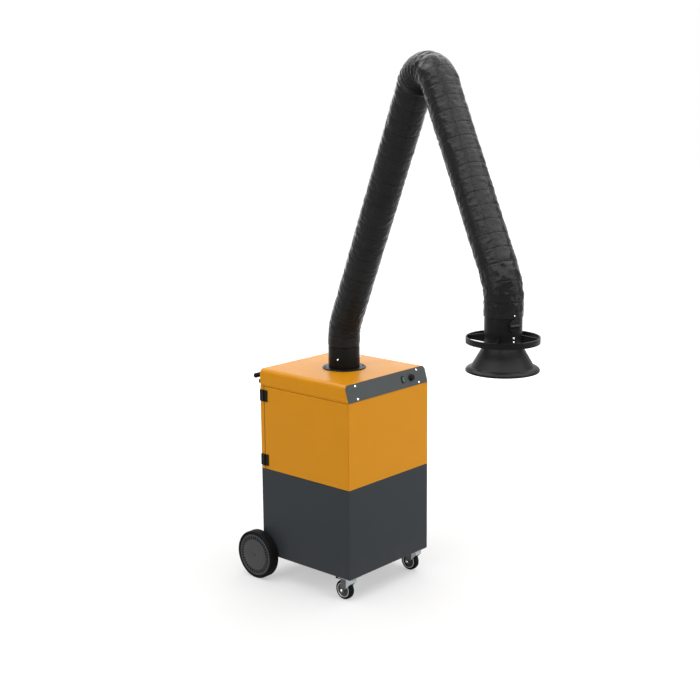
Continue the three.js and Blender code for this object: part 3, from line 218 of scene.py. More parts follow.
# Dust that settles low on the machine: a mask that fades out over a height above the floor
dust = dict(colour=linear(150, 140, 125), fade=0.3, scale=14.0)
dustTree, dustIn, dustOut = nodeGroup("dust", "ShaderNodeTree", dict(Amount="Float"), dict(Mask="Float"))
dustPlace = objectPlace(dustTree)
dustHeight = addNode(dustTree, "ShaderNodeSeparateXYZ", {0: dustPlace})["Z"]
dustFall = rangeNode(dustTree, dustHeight, 0.0, dust["fade"], 1.0, 0.0, "SMOOTHSTEP")
dustSpread = mathNode(dustTree, "MULTIPLY", dustFall, noiseNode(dustTree, dustPlace, dust["scale"], 6.0))
feed(dustTree, dustOut, dict(Mask=mathNode(dustTree, "MULTIPLY", dustSpread, dustIn["Amount"])))


# A coat, moulding or metal: mottled colour, uneven gloss, grain and a little dust
def coatedPaint(
    name, colour, rough, grain, height, spread=0.08, uneven=0.04, mottleScale=9.0, dusty=0.06,
    metal=0.0, specular=0.5, coat=0.0,
):
    tree, shader = newPaint(name)
    grainInputs = dict(Scale=grain, Height=height, MottleScale=mottleScale)
    normal, mottle = addNode(tree, "ShaderNodeGroup", node_tree=grainTree, inputs=grainInputs)
    dustMask = addNode(tree, "ShaderNodeGroup", node_tree=dustTree, inputs=dict(Amount=dusty))["Mask"]
    plain = linear(*colour)
    mottled = mixColour(tree, mottle, scaled(plain, 1 - spread), scaled(plain, 1 + spread))
    feed(tree, shader, {
        "Base Color": mixColour(tree, dustMask, mottled, dust["colour"]),
        "Roughness": rangeNode(tree, mottle, 0.25, 0.75, rough - uneven, rough + uneven),
        "Normal": normal,
        "Metallic": metal,
        "Specular IOR Level": specular,
        "Coat Weight": coat,
        "Coat Roughness": 0.15,
    })


# Colour, roughness, grain and its height, and what else is not plain
finishes = dict(
    orangePaint=((209, 138, 8), 0.36, 700, 0.00008, dict(spread=0.03, specular=0.13)),
    greyPaint=((50, 54, 58), 0.42, 800, 0.00012, dict(spread=0.06, specular=0.1)),
    panelPaint=((69, 73, 74), 0.4, 900, 0.0001, dict(spread=0.05, specular=0.2)),
    blackPaint=((21, 21, 21), 0.34, 650, 0.0001, dict(spread=0.1, specular=0.07)),
    blackPlastic=((11, 11, 12), 0.45, 1300, 0.00012, dict(spread=0.1, specular=0.1)),
    hubPlastic=((60, 61, 63), 0.5, 1100, 0.0001, dict(dusty=0.12, specular=0.2)),
    wheelPlastic=((50, 51, 52), 0.45, 1100, 0.0001, dict(dusty=0.12, specular=0.2)),
    greenPlastic=((40, 124, 70), 0.26, 600, 0.00003, dict(coat=0.3)),
    tyreRubber=((11, 11, 12), 0.62, 500, 0.0002, dict(dusty=0.01, specular=0.06)),
    sealRubber=((28, 28, 28), 0.8, 600, 0.0003, dict()),
    castMetal=((120, 124, 126), 0.5, 300, 0.0004, dict(metal=0.7, spread=0.12)),
    plainSteel=((190, 193, 196), 0.32, 420, 0.00006, dict(metal=1.0)),
    zincSteel=(
        (176, 179, 182), 0.34, 160, 0.00008, dict(metal=1.0, spread=0.14, mottleScale=60.0, uneven=0.1),
    ),
    # A darker copy of zincSteel for the fork's cheeks, while the skirt round the fork's front keeps
    # zincSteel: painted shade for the dark floor and shadow that the cheeks reflect
    shadedForkSteel=((86, 87, 89), 0.36, 160, 0.00008, dict(metal=1.0, spread=0.16, mottleScale=60.0, uneven=0.1)),
    brightSteel=((226, 227, 228), 0.24, 800, 0.00004, dict(metal=1.0)),
    filterMedia=((220, 217, 203), 0.9, 420, 0.0006, dict(specular=0.2)),
)
for name, (*core, rest) in finishes.items():
    coatedPaint(name, *core, **rest)


# Mixes a colour into a finish by a mask made from the object's own X, Y and Z
def overPaint(name, colour, share, mask):
    tree = paints[name].node_tree
    base = tree.nodes["Principled BSDF"].inputs["Base Color"]
    x, y, z = addNode(tree, "ShaderNodeSeparateXYZ", {0: objectPlace(tree)})
    amount = mathNode(tree, "MULTIPLY", mask(tree, x, y, z), share)
    tree.links.new(mixColour(tree, amount, base.links[0].from_socket, colour), base)


# Painted shadow: a dark line mixed into the orange paint along the gap at the door's hinges, where the gap's
# shade falls
doorGapShade = dict(core=0.0008, width=0.0050, share=0.5, depth=0.004, offset=0.0006)
doorLow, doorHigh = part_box("door")


def doorGapShadeMask(tree, x, y, z):
    beside = mathNode(tree, "SUBTRACT", y, doorHigh.y + doorGapShade["offset"])
    away = mathNode(tree, "ABSOLUTE", beside, 0.0)
    near = rangeNode(tree, away, doorGapShade["core"], doorGapShade["width"], 1.0, 0.0, "SMOOTHSTEP")
    onSide = mathNode(tree, "LESS_THAN", x, doorLow.x + doorGapShade["depth"])
    below = mathNode(tree, "LESS_THAN", z, doorHigh.z + doorGapShade["depth"])
    return mathNode(tree, "MULTIPLY", near, mathNode(tree, "MULTIPLY", onSide, below))


# The painted shadow along the door's gap, mixed into the orange paint
overPaint("orangePaint", linear(60, 34, 4), doorGapShade["share"], doorGapShadeMask)

# The rocker is painted near-black on its left part and green on the rest
rockerLow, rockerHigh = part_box("switch_rocker")
rockerEdge = rockerLow.x + 0.42 * (rockerHigh.x - rockerLow.x)


def rockerMask(tree, x, y, z):
    return mathNode(tree, "LESS_THAN", x, rockerEdge)


overPaint("greenPlastic", linear(14, 14, 15), 1.0, rockerMask)


# Coated hose cloth: a fine plain weave on its own length and girth, crinkles and dark ring seams.
# The cloth map holds the length along the hose and the length round it, in metres
def hoseCloth(name, spec):
    tree, shader = newPaint(name)
    cloth = addNode(tree, "ShaderNodeUVMap", uv_map="cloth")["UV"]
    threadInputs = dict(Vector=cloth, Scale=spec["threads"])
    threads = [addNode(tree, "ShaderNodeTexWave", threadInputs, bands_direction=way)["Fac"] for way in "XY"]
    weave = bumpNode(tree, mathNode(tree, "MAXIMUM", *threads), spec["threadHeight"], 0.5)
    place = objectPlace(tree)
    slack = noiseNode(tree, place, spec["slackScale"], 3.0)
    wide = noiseNode(tree, place, spec["wideScale"], 3.0)
    along = addNode(tree, "ShaderNodeSeparateXYZ", {0: cloth})["X"]
    toSeam = mathNode(tree, "PINGPONG", along, spec["seamPitch"] / 2)
    seam = rangeNode(tree, toSeam, spec["seamLine"] * 0.5, spec["seamLine"], 1.0, 0.0, "SMOOTHSTEP")
    panelColour = mixColour(tree, wide, spec["dark"], spec["pale"])
    gloss = rangeNode(tree, slack, 0.3, 0.7, spec["rough"], spec["matt"])
    seamMatt = mathNode(tree, "MULTIPLY", seam, spec["seamRough"])
    feed(tree, shader, {
        "Base Color": mixColour(tree, seam, panelColour, spec["seamColour"]),
        "Roughness": mathNode(tree, "MAXIMUM", gloss, seamMatt),
        "Normal": bumpNode(tree, slack, spec["slackHeight"], 0.7, Normal=weave),
        "Specular IOR Level": spec["specular"],
    })


print("materials done")


# Mesh helpers

def shadeByAngle(mesh, angle=32):
    mesh.shade_smooth()
    mesh.set_sharp_from_angle(angle=math.radians(angle))


# The mesh of a bmesh, with smooth shading up to an edge angle
def bakeMesh(name, work):
    mesh = bpy.data.meshes.new(name)
    work.to_mesh(mesh)
    work.free()
    shadeByAngle(mesh)
    return mesh


# Rows and columns of each quad's corners over a grid that closes round its columns, and its rows if wanted
def gridCorners(rows, columns, closeRows):
    r, c = np.meshgrid(np.arange(rows if closeRows else rows - 1), np.arange(columns), indexing="ij")
    r, c = r.ravel(), c.ravel()
    return np.stack([r, r, r + 1, r + 1], axis=1), np.stack([c, c + 1, c + 1, c], axis=1)


# Mesh over a grid of points that closes round its columns, with doubles merged and faces turned outwards
def wrapMesh(name, points, closeRows):
    rows, columns = points.shape[:2]
    rowOf, columnOf = gridCorners(rows, columns, closeRows)
    index = (rowOf % rows) * columns + columnOf % columns
    grid = bpy.data.meshes.new(name)
    grid.from_pydata(points.reshape(-1, 3).tolist(), [], index.tolist())
    work = bmesh.new()
    work.from_mesh(grid)
    bpy.data.meshes.remove(grid)
    bmesh.ops.remove_doubles(work, verts=work.verts, dist=1e-6)
    bmesh.ops.dissolve_degenerate(work, edges=work.edges, dist=1e-7)
    bmesh.ops.recalc_face_normals(work, faces=work.faces)
    return bakeMesh(name, work)


# A polyline with its corners rounded: each corner becomes a short quadratic curve between its two sides
def rounded(points, radius, closed=True, steps=3):
    points = np.array(points, float)
    before, after = np.roll(points, 1, axis=0) - points, np.roll(points, -1, axis=0) - points
    longBefore, longAfter = np.linalg.norm(before, axis=1), np.linalg.norm(after, axis=1)
    cut = np.minimum(radius, 0.45 * np.minimum(longBefore, longAfter))
    if not closed:
        cut[[0, -1]] = 0
    start = points + before * (cut / longBefore)[:, None]
    end = points + after * (cut / longAfter)[:, None]
    t = np.linspace(0, 1, steps + 1)[None, :, None]
    curve = start[:, None] * (1 - t) ** 2 + points[:, None] * 2 * t * (1 - t) + end[:, None] * t * t
    return curve.reshape(-1, 2)


# Body of revolution: [radius, height] pairs about an axis through base; flutes dents its radius
def turned(name, profile, base, axis=up, sides=96, closed=True, soft=0.001, first=None, flutes=None):
    profile = rounded(profile, soft, closed) if soft else np.array(profile, float)
    axis = Vector(axis).normalized()
    side = Vector(first or axis.orthogonal()).normalized()
    angles = fullTurn(sides)
    ring = np.cos(angles)[:, None] * np.array(side) + np.sin(angles)[:, None] * np.array(axis.cross(side))
    radii = profile[:, :1] * np.ones(sides)
    if flutes is not None:
        radii = radii - flutes(radii, profile[:, 1:], angles[None])
    points = np.array(base) + radii[..., None] * ring[None] + profile[:, 1][:, None, None] * np.array(axis)
    return addObject(name, wrapMesh(name, points, closed))


# The whole profile of a piece that is the same on both sides of its middle, from its outer half
def bothSides(half):
    return [(radius, -out) for radius, out in half] + half[::-1]


def tubeProfile(inner, outer, low, high):
    return [(inner, low), (outer, low), (outer, high), (inner, high)]


# Local frame with the given X and Y directions
def placement(origin, x, y):
    x, y = Vector(x).normalized(), Vector(y).normalized()
    columns = (x, y, x.cross(y), Vector(origin))
    return Matrix([[column[k] for column in columns] for k in range(3)] + [[0, 0, 0, 1]])


# A flat outline in the XY of a placement, given thickness from low to high, with softened edges
def plate(name, outline, low, high, where, soft=0.0008):
    work = bmesh.new()
    face = work.faces.new([work.verts.new((x, y, low)) for x, y in outline])
    grown = bmesh.ops.extrude_face_region(work, geom=[face])
    lifted = [v for v in grown["geom"] if isinstance(v, bmesh.types.BMVert)]
    bmesh.ops.translate(work, verts=lifted, vec=(0, 0, high - low))
    bmesh.ops.recalc_face_normals(work, faces=work.faces)
    sharp = [edge for edge in work.edges if edge.calc_face_angle(0) > math.radians(35)]
    bmesh.ops.bevel(work, geom=sharp, offset=soft, segments=2, profile=0.5, affect="EDGES")
    bmesh.ops.transform(work, matrix=where, verts=work.verts)
    return addObject(name, bakeMesh(name, work))


def rectangle(width, height, x=0.0, y=0.0, corner=0.0):
    w, h = width / 2, height / 2
    points = [(x - w, y - h), (x + w, y - h), (x + w, y + h), (x - w, y + h)]
    return rounded(points, corner, True, 5) if corner else points


# Several pieces as one object
def joined(name, pieces):
    work = bmesh.new()
    for piece in pieces:
        work.from_mesh(piece.data)
        bpy.data.objects.remove(piece)
    return addObject(name, bakeMesh(name, work))


# Gives a piece its finish and its body, and hides the CAD nodes that it stands for; the slot is not used
def dress(piece, paint, slot, body, *stands):
    piece.data.materials.clear()
    piece.data.materials.append(paints[paint])
    if body:
        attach(piece, body)
    if stands:
        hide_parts(*stands)


# A domed screw head with a recess for its key; its seat is sunk a little way in
def screwHead(name, place, axis, radius, rise):
    profile = [
        (0, rise * 0.4), (radius * 0.4, rise * 0.4), (radius * 0.46, rise),
        (radius * 0.78, rise * 0.86), (radius, rise * 0.35), (radius, -rise * 0.3), (0, -rise * 0.3),
    ]
    return turned(name, profile, place, axis, sides=24, closed=False, soft=0.0004)


# Screw heads as one piece, each given by its place and the way it faces
def screws(name, spots, radius, rise):
    return joined(name, [screwHead("screw", place, way, radius, rise) for place, way in spots])


def eased(t):
    return t * t * (3 - 2 * t)


# Smooth random field in -1 to 1: random values on a unit lattice, eased between its corners
def slackField(x, y, z, seed):
    spot = np.stack(np.broadcast_arrays(x, y, z))
    cell = np.floor(spot).astype(np.int64)
    ease = eased(spot - cell)
    total = np.zeros(spot.shape[1:])
    for corner in range(8):
        step = np.array([corner & 1, corner >> 1 & 1, corner >> 2 & 1])
        step = step.reshape(3, *[1] * (spot.ndim - 1))
        i, j, k = cell + step
        mixed = (i * 374761393 + j * 668265263 + k * 362437 + seed * 144665) & 0xFFFFFFFF
        mixed = ((mixed ^ (mixed >> 13)) * 1274126177) & 0xFFFFFFFF
        value = (mixed ^ (mixed >> 16)) / 0xFFFFFFFF
        total += value * np.prod(np.where(step == 1, ease, 1 - ease), axis=0)
    return 2 * total - 1


# Hose: its centre line is the one of the CAD model, walked from the collar to the hood

hose = dict(
    lowerLean=math.radians(31.4), upperLean=math.radians(33),
    shoulderBend=0.250, elbowBend=0.128, hoodBend=0.190,
    bendSpare=0.06, elbowSpare=0.11, collarHold=0.02,
    radius=0.0797, bore=0.0782, pitch=0.063,
    sides=112, panelRows=20, bunchRows=40, bunchSpare=0.13,
    pillow=0.0005, seamDepth=0.0006, seamWidth=0.0014,
    dent=0.0008, crease=0.0013, crumple=0.0008, dimple=0.0034,
    creaseSharp=2.4, dimpleFrom=0.36, panelShift=5.37,
    hoodSlack=0.7, hoodSlackSpare=0.08,
    pleatLength=0.0250, pleatDepth=0.0058, pleatInside=0.0010, pleatWander=0.35,
    foldDepth=0.0026, foldSharp=2.2, foldSlant=2.0, foldTurn=0.9,
    # Shares of the elbow's arc where the cloth starts to bunch or loosen, is full, starts to ease, is plain
    bunched=(-0.14, 0.04, 0.5, 0.74),
    loose=(0.42, 0.6, 0.95, 1.3),
    looseInside=(0.6, 0.8, 1.0, 2.6),
)
# Cells per metre along and round the hose, whether each panel shifts them in X, Y and Z, and a seed
slackPatterns = dict(
    dent=(25, 22, (1, 0, 1), 3),
    crease=(40, 33, (1, 0, 1), 7),
    crumple=(90, 66, (0, 1, 0), 11),
    dimple=(52, 46, (0, 0, 1), 19),
    wander=(12, 11, (0, 0, 0), 29),
    fold=(26, 9, (0, 0, 0), 41),
)

shoulderReach, shoulderHeight = reachAndHeight(pivot("shoulder"))
hoodReach, hoodHeight = reachAndHeight(pivot("hood_tilt"))
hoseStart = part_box("hose_base_bend")[0].z
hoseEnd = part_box("hose_hood_bend")[0].z

# The two straight runs meet at the elbow's corner, which gives their lengths
lowerWay = [math.sin(hose["lowerLean"]), math.cos(hose["lowerLean"])]
upperWay = [math.sin(hose["upperLean"]), -math.cos(hose["upperLean"])]
lowerRun, upperRun = np.linalg.solve(
    np.stack([lowerWay, upperWay], axis=1), [hoodReach - shoulderReach, hoodHeight - shoulderHeight],
)
elbowTurn = math.pi - hose["lowerLean"] - hose["upperLean"]
shoulderTangent = hose["shoulderBend"] * math.tan(hose["lowerLean"] / 2)
elbowTangent = hose["elbowBend"] * math.tan(elbowTurn / 2)
hoodTangent = hose["hoodBend"] * math.tan(hose["upperLean"] / 2)
hoseRuns = [
    (shoulderHeight - hoseStart - shoulderTangent, 0.0),
    (hose["shoulderBend"] * hose["lowerLean"], hose["lowerLean"]),
    (lowerRun - shoulderTangent - elbowTangent, 0.0),
    (hose["elbowBend"] * elbowTurn, elbowTurn),
    (upperRun - elbowTangent - hoodTangent, 0.0),
    (hose["hoodBend"] * hose["upperLean"], hose["upperLean"]),
    (hoodHeight - hoseEnd - hoodTangent, 0.0),
]
elbowArc, hoodArc = 3, 5  # places in hoseRuns
runStarts = np.cumsum([0.0] + [length for length, turn in hoseRuns])
hoseLength = runStarts[-1]
panelCount = round(hoseLength / hose["pitch"])
panelLength = hoseLength / panelCount

hoseCloth("hoseCloth", dict(
    threads=170.0, threadHeight=0.00008, slackScale=75.0, slackHeight=0.0026, wideScale=12.0,
    seamPitch=panelLength, seamLine=0.0018, seamColour=linear(13, 13, 13), seamRough=0.6,
    dark=linear(25, 25, 25), pale=linear(36, 36, 36), rough=0.10, matt=0.18, specular=0.075,
))


# Reach, height and heading of the centre line at lengths along it: each run adds its chord
def hoseWalk(along):
    reach, height, heading = np.zeros_like(along), np.full_like(along, hoseStart), np.zeros_like(along)
    for (length, turn), start in zip(hoseRuns, runStarts):
        share = np.clip((along - start) / length, 0, 1)
        step = turn * share
        chord = 2 * length * np.sin(step / 2) / turn if turn else length * share
        reach = reach + chord * np.sin(heading + step / 2)
        height = height + chord * np.cos(heading + step / 2)
        heading = heading + step
    return reach, height, heading


# 1 inside an arc of the hose, eased to 0 over a length before and after it
def nearArc(along, arc, spare):
    start, end = runStarts[arc], runStarts[arc + 1]
    away = np.maximum(start - along, along - end)
    return eased(np.clip(1 - away / spare, 0, 1))


# 0 before the first of four shares, eased to 1 by the second, held to the third, eased to 0 by the fourth
def rampUpDown(share, rise, full, fall, end):
    before = np.clip((share - rise) / (full - rise), 0, 1)
    after = np.clip((end - share) / (end - fall), 0, 1)
    return eased(before) * eased(after)


# Radius over along x angles. Each panel of cloth lies between two ring seams, with broad dents, sharp
# creases, a fine crumple and a few dimples. Up to the elbow's crest it bunches into ring pleats, round on
# their crests and sharp in their valleys, deepest inside the bend; past the crest it lies in loose
# slanting folds
def hoseRadius(along, angles):
    s, a = along[:, None], angles[None]
    panel = np.floor(s / panelLength + 1e-6)
    share = s / panelLength - panel
    toSeam = np.minimum(share, 1 - share) * panelLength
    swell = np.sin(math.pi * np.clip(share, 0, 1)) ** 0.6
    seam = np.exp(-((toSeam / hose["seamWidth"]) ** 2))
    y, z = hose["radius"] * np.cos(a), hose["radius"] * np.sin(a)
    shift = hose["panelShift"] * panel

    def pattern(name, slant=0.0):
        along, across, moves, seed = slackPatterns[name]
        moveX, moveY, moveZ = (shift * move for move in moves)
        return slackField(s * along + moveX + slant, y * across + moveY, z * across + moveZ, seed)

    crease = 1 - hose["creaseSharp"] * np.abs(pattern("crease"))
    dimple = np.clip(pattern("dimple") - hose["dimpleFrom"], 0, 1)
    slack = (
        hose["dent"] * pattern("dent") + hose["crease"] * crease + hose["crumple"] * pattern("crumple")
        - hose["dimple"] * dimple
    )
    slack = slack * (1 + hose["hoodSlack"] * nearArc(s, hoodArc, hose["hoodSlackSpare"]))
    inside = np.clip(0.5 + 0.5 * np.sin(a), 0, 1) ** 1.5
    elbowShare = (s - runStarts[elbowArc]) / (runStarts[elbowArc + 1] - runStarts[elbowArc])
    bunch = rampUpDown(elbowShare, *hose["bunched"])
    loose = np.maximum(
        rampUpDown(elbowShare, *hose["loose"]), inside * rampUpDown(elbowShare, *hose["looseInside"]),
    )
    pleatShare = s / hose["pleatLength"] + hose["pleatWander"] * pattern("wander")
    pleat = np.abs(np.sin(math.pi * pleatShare))
    slant = hose["foldSlant"] * np.sin(a - hose["foldTurn"])
    fold = 1 - hose["foldSharp"] * np.abs(pattern("fold", slant))
    return (
        hose["radius"] + hose["pillow"] * swell - hose["seamDepth"] * seam
        + (hose["pleatDepth"] + hose["pleatInside"] * inside) * bunch * (pleat - 0.5)
        + hose["foldDepth"] * loose * fold
        + slack * (1 - bunch) * swell
    )


# Lengths along the hose for its rows: closer at the seams, and evenly close where the cloth is bunched
def hoseRows(first, last):
    rows = []
    for panel in range(first, last):
        middle = (panel + 0.5) * panelLength
        if nearArc(np.array(middle), elbowArc, hose["bunchSpare"] + panelLength) > 0:
            share = np.linspace(0, 1, hose["bunchRows"], endpoint=False)
        else:
            share = 0.5 - 0.5 * np.cos(np.linspace(0, math.pi, hose["panelRows"], endpoint=False))
        rows.append((panel + share) * panelLength)
    return np.concatenate(rows + [[last * panelLength]])


# One stretch of hose, from panel first to panel last, as a closed tube of cloth; its bodies and the lengths
# where it bends are not used
def hoseStretch(name, first, last, bodies, bendFrom, bendTo, *stands):
    outer = hoseRows(first, last)
    inner = np.arange(last, first - 1, -1) * panelLength
    angles = fullTurn(hose["sides"])
    bore = np.full((len(inner), len(angles)), hose["bore"])
    radius = np.concatenate([hoseRadius(outer, angles), bore])
    along = np.concatenate([outer, inner])
    reach, height, heading = hoseWalk(along)
    across, out = radius * np.cos(angles), radius * np.sin(angles)
    reaches = reach[:, None] + out * np.cos(heading)[:, None]
    heights = height[:, None] - out * np.sin(heading)[:, None]
    points = (
        np.array(mast) + across[..., None] * np.array(pivotLine)
        + reaches[..., None] * np.array(reachLine) + heights[..., None] * np.array(up)
    )
    # The corners run backwards, so that the faces look outwards
    rowOf, columnOf = (corners[:, ::-1] for corners in gridCorners(len(along), len(angles), True))
    index = (rowOf % len(along)) * len(angles) + columnOf % len(angles)
    mesh = bpy.data.meshes.new(name)
    mesh.from_pydata(points.reshape(-1, 3).tolist(), [], index.tolist())
    shadeByAngle(mesh, 75)
    # Cloth coordinates for the weave: length along the hose and round it
    girth = 2 * math.pi * hose["radius"] / hose["sides"]
    uv = np.stack([along[rowOf % len(along)], columnOf * girth], axis=-1)
    mesh.uv_layers.new(name="cloth").data.foreach_set("uv", uv.astype(np.float32).ravel())
    piece = addObject(name, mesh)
    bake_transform(piece)
    dress(piece, "hoseCloth", "hose_cloth", None, *stands)


lowerSplit = round((runStarts[2] + runStarts[3]) / 2 / panelLength)
upperSplit = round((runStarts[4] + runStarts[5]) / 2 / panelLength)
hoseStretch(
    "hose_at_shoulder", 0, lowerSplit, ("arm_base", "lower_arm"),
    hose["collarHold"], runStarts[2] + hose["bendSpare"], "hose_base_bend", "hose_lower",
)
hoseStretch(
    "hose_at_elbow", lowerSplit, upperSplit, ("lower_arm", "upper_arm"),
    runStarts[elbowArc] - hose["elbowSpare"], runStarts[elbowArc + 1] + hose["elbowSpare"], "hose_elbow",
)
hoseStretch(
    "hose_at_hood", upperSplit, panelCount, ("upper_arm", "hood_joint"),
    runStarts[hoodArc] - hose["bendSpare"], runStarts[hoodArc + 1], "hose_upper", "hose_hood_bend",
)
print("hose done")

# Collar and flange on the cap

collar = dict(
    radius=0.079, bore=0.0735, spigot=0.0748, groove=0.006,
    sleeveOut=0.0728, sleeveIn=0.0698, flangeThickness=0.005, gap=0.0003,
    screwHeight=1.155, screwAngles=(70, 190, 310), screw=(0.0048, 0.003),
    flangeScrews=6, flangeScrewIn=0.014, flangeScrewTurn=0.35, flangeScrew=(0.0048, 0.0026),
)
collarLow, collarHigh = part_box("arm_collar")
flangeLow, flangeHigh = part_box("swivel_flange")
flangeRadius = (flangeHigh.x - flangeLow.x) / 2
flangeTop = collarLow.z - collar["gap"]
flangeBottom = flangeTop - collar["flangeThickness"]
collarShoulder = hoseStart - collar["groove"]
sleeveIn, sleeveOut = collar["sleeveIn"], collar["sleeveOut"]

collarProfile = [
    (collar["bore"], collarLow.z), (collar["radius"], collarLow.z),
    (collar["radius"], collarShoulder), (collar["spigot"], collarShoulder),
    (collar["spigot"], collarHigh.z), (collar["bore"], collarHigh.z),
]
dress(turned("arm_collar_turned", collarProfile, mast), "blackPaint", "black_paint", "arm_base", "arm_collar")
flangeProfile = [
    (sleeveIn, flangeLow.z), (sleeveOut, flangeLow.z), (sleeveOut, flangeBottom),
    (flangeRadius, flangeBottom), (flangeRadius, flangeTop - 0.0015), (flangeRadius - 0.003, flangeTop),
    (sleeveOut, flangeTop), (sleeveOut, flangeHigh.z), (sleeveIn, flangeHigh.z),
]
dress(
    turned("swivel_flange_turned", flangeProfile, mast),
    "blackPaint", "black_paint", "cabinet", "swivel_flange",
)
collarSpots = [
    (mast + way * collar["radius"] + up * collar["screwHeight"], way)
    for way in aroundArm(*collar["screwAngles"])
]
dress(screws("collar_screws", collarSpots, *collar["screw"]), "brightSteel", "zinc_steel", "arm_base")
flangeScrewRadius = flangeRadius - collar["flangeScrewIn"]
flangeSpots = [
    (mast + Vector((math.cos(a), math.sin(a), 0)) * flangeScrewRadius + up * flangeTop, up)
    for a in fullTurn(collar["flangeScrews"]) + collar["flangeScrewTurn"]
]
dress(screws("flange_screws", flangeSpots, *collar["flangeScrew"]), "blackPaint", "black_paint", "cabinet")
print("collar done")

# Hood: neck, cone with a flared lip, ring handle and damper knob

hood = dict(
    neck=0.0765, neckBore=0.0735,
    cone=0.127, coneHeight=0.082, coneLap=0.010, coneGap=0.0003, wall=0.0025,
    lip=0.150, lipHeight=0.020, lipEdge=0.005,
    ring=0.150, ringThickness=0.0064,
    spokeThickness=0.005, spokeRise=0.010, spokeOuter=0.016, spokeInner=0.036,
    screwDrops=(0.0784, 0.0934), screw=(0.0038, 0.0026),
    hoseScrewRise=0.0116, hoseScrew=(0.0029, 0.0022),
)
hoodAxis = armPoint(hoodReach, 0)
neckLow, neckHigh = (corner.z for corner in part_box("hood_neck"))
ringLow, ringHigh = (corner.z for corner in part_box("ring_handle"))
coneLow = neckLow - hood["coneHeight"]
lipLow = coneLow - hood["lipHeight"]
neck, neckBore, lip = hood["neck"], hood["neckBore"], hood["lip"]

neckProfile = tubeProfile(neckBore, neck, neckLow, neckHigh)
dress(
    turned("hood_neck_turned", neckProfile, hoodAxis, soft=0.0006),
    "blackPaint", "black_paint", "hood", "hood_neck",
)

# The cone's outer line runs straight, then turns out through a quarter curve to the lip
flareTurn = np.linspace(0, math.pi / 2, 9)
flareOut = hood["cone"] + (lip - hood["cone"]) * np.sin(flareTurn) ** 1.2
flareDown = coneLow - (hood["lipHeight"] - hood["lipEdge"]) * (1 - np.cos(flareTurn)) ** 0.8
sleeve = neck + hood["coneGap"]
coneTop = neckLow + hood["coneLap"]
coneOutside = [(sleeve + hood["wall"], coneTop), (sleeve + hood["wall"], neckLow)]
coneOutside += list(zip(flareOut, flareDown))
coneInside = [(radius - 0.0022, height - 0.0026) for radius, height in coneOutside[:1:-1]]
coneInside += [
    (neckBore, neckLow - 0.005), (neckBore, neckLow - hood["coneGap"]), (sleeve, neckLow - hood["coneGap"]),
]
lipEdge = [(lip, lipLow + 0.001), (lip - 0.001, lipLow), (lip - 0.004, lipLow)]
coneProfile = coneOutside + lipEdge + coneInside + [(sleeve, coneTop)]
dress(
    turned("hood_cone_turned", coneProfile, hoodAxis, sides=128, soft=0.0006),
    "blackPaint", "black_paint", "hood", "hood_cone",
)

# Each spoke is a plate on edge that grows taller from the ring to the neck
ringProfile = tubeProfile(hood["ring"] - hood["ringThickness"], hood["ring"], ringLow, ringHigh)
ringPieces = [turned("ring", ringProfile, hoodAxis, sides=128, soft=0.0009)]
spokeEnd = hood["ring"] - hood["ringThickness"] / 2
spokeTop = ringHigh + hood["spokeRise"]
spokeHalf = hood["spokeThickness"] / 2
spokeOutline = rounded([
    (sleeve, spokeTop - hood["spokeInner"]), (spokeEnd, ringHigh - hood["spokeOuter"]),
    (spokeEnd, ringHigh - 0.001), (sleeve, spokeTop),
], 0.004)
ringPieces += [
    plate("spoke", spokeOutline, -spokeHalf, spokeHalf, placement(hoodAxis, way, up))
    for way in aroundArm(45, 135, 225, 315)
]
dress(joined("ring_handle_formed", ringPieces), "blackPaint", "black_paint", "hood", "ring_handle")

neckFront = hoodAxis + reachLine * neck
hoodSpots = [(neckFront + up * (neckHigh - drop), reachLine) for drop in hood["screwDrops"]]
dress(screws("hood_screws", hoodSpots, *hood["screw"]), "brightSteel", "zinc_steel", "hood")
hoseFront = hoodAxis + reachLine * (hose["radius"] + 0.0002)
hoseScrewPlace = hoseFront + up * (hoseEnd + hood["hoseScrewRise"])
dress(
    screwHead("hose_screw", hoseScrewPlace, reachLine, *hood["hoseScrew"]),
    "brightSteel", "zinc_steel", "hood_joint",
)

knob = dict(
    radius=0.027, height=0.007, edge=0.002, seat=0.0006,
    gripBase=0.018, gripTop=0.004, gripHeight=0.010, gripInset=0.0035,
)
knobSeat = hoodAxis + reachLine * (neck + knob["seat"])
knobBase = Vector((knobSeat.x, knobSeat.y, pivot("damper_turn").z))
knobRadius, knobHeight = knob["radius"], knob["height"]
knobProfile = [
    (0, 0), (knobRadius - knob["edge"], 0), (knobRadius, knob["edge"]), (knobRadius, knobHeight),
    (0, knobHeight),
]
# The grip is a ridge with sloping flanks, across the disc
gripOutline = [
    (-knob["gripBase"] / 2, knobHeight - 0.001), (knob["gripBase"] / 2, knobHeight - 0.001),
    (knob["gripTop"] / 2, knobHeight + knob["gripHeight"]),
    (-knob["gripTop"] / 2, knobHeight + knob["gripHeight"]),
]
gripHalf = knobRadius - knob["gripInset"]
knobPieces = [
    turned("knob_disc", knobProfile, knobBase, reachLine, closed=False, soft=0.0012),
    plate("knob_grip", gripOutline, -gripHalf, gripHalf, placement(knobBase, up, reachLine), 0.0010),
]
dress(joined("damper_knob_formed", knobPieces), "blackPlastic", "black_plastic", "damper", "damper_knob")
print("hood done")

# Rear wheels: a ribbed hub in a grooved tyre, turned about the axle

wheel = dict(
    radius=0.125, rim=0.109, lip=0.0995, disc=0.0815, bore=0.0103, web=0.008, face=0.048,
    tyreFrom=-0.0055, tyreTo=0.049, bead=0.002,
    # The tyre's shoulder, as drops below its radius and distances in from its side
    shoulder=[(0.013, 0), (0.006, 0.001), (0.0015, 0.004), (0, 0.007)],
    treads=4, treadHalf=0.0016, treadFloorHalf=0.0008, treadDepth=0.0024,
    groove=0.020, ribs=40, ribWidth=0.0060, ribSink=0.0012,
    # Depths below the hub's face of the top and the back of the dark ring that paints shade between the ribs
    slotShadeSink=0.0034, slotShadeBack=0.006,
)


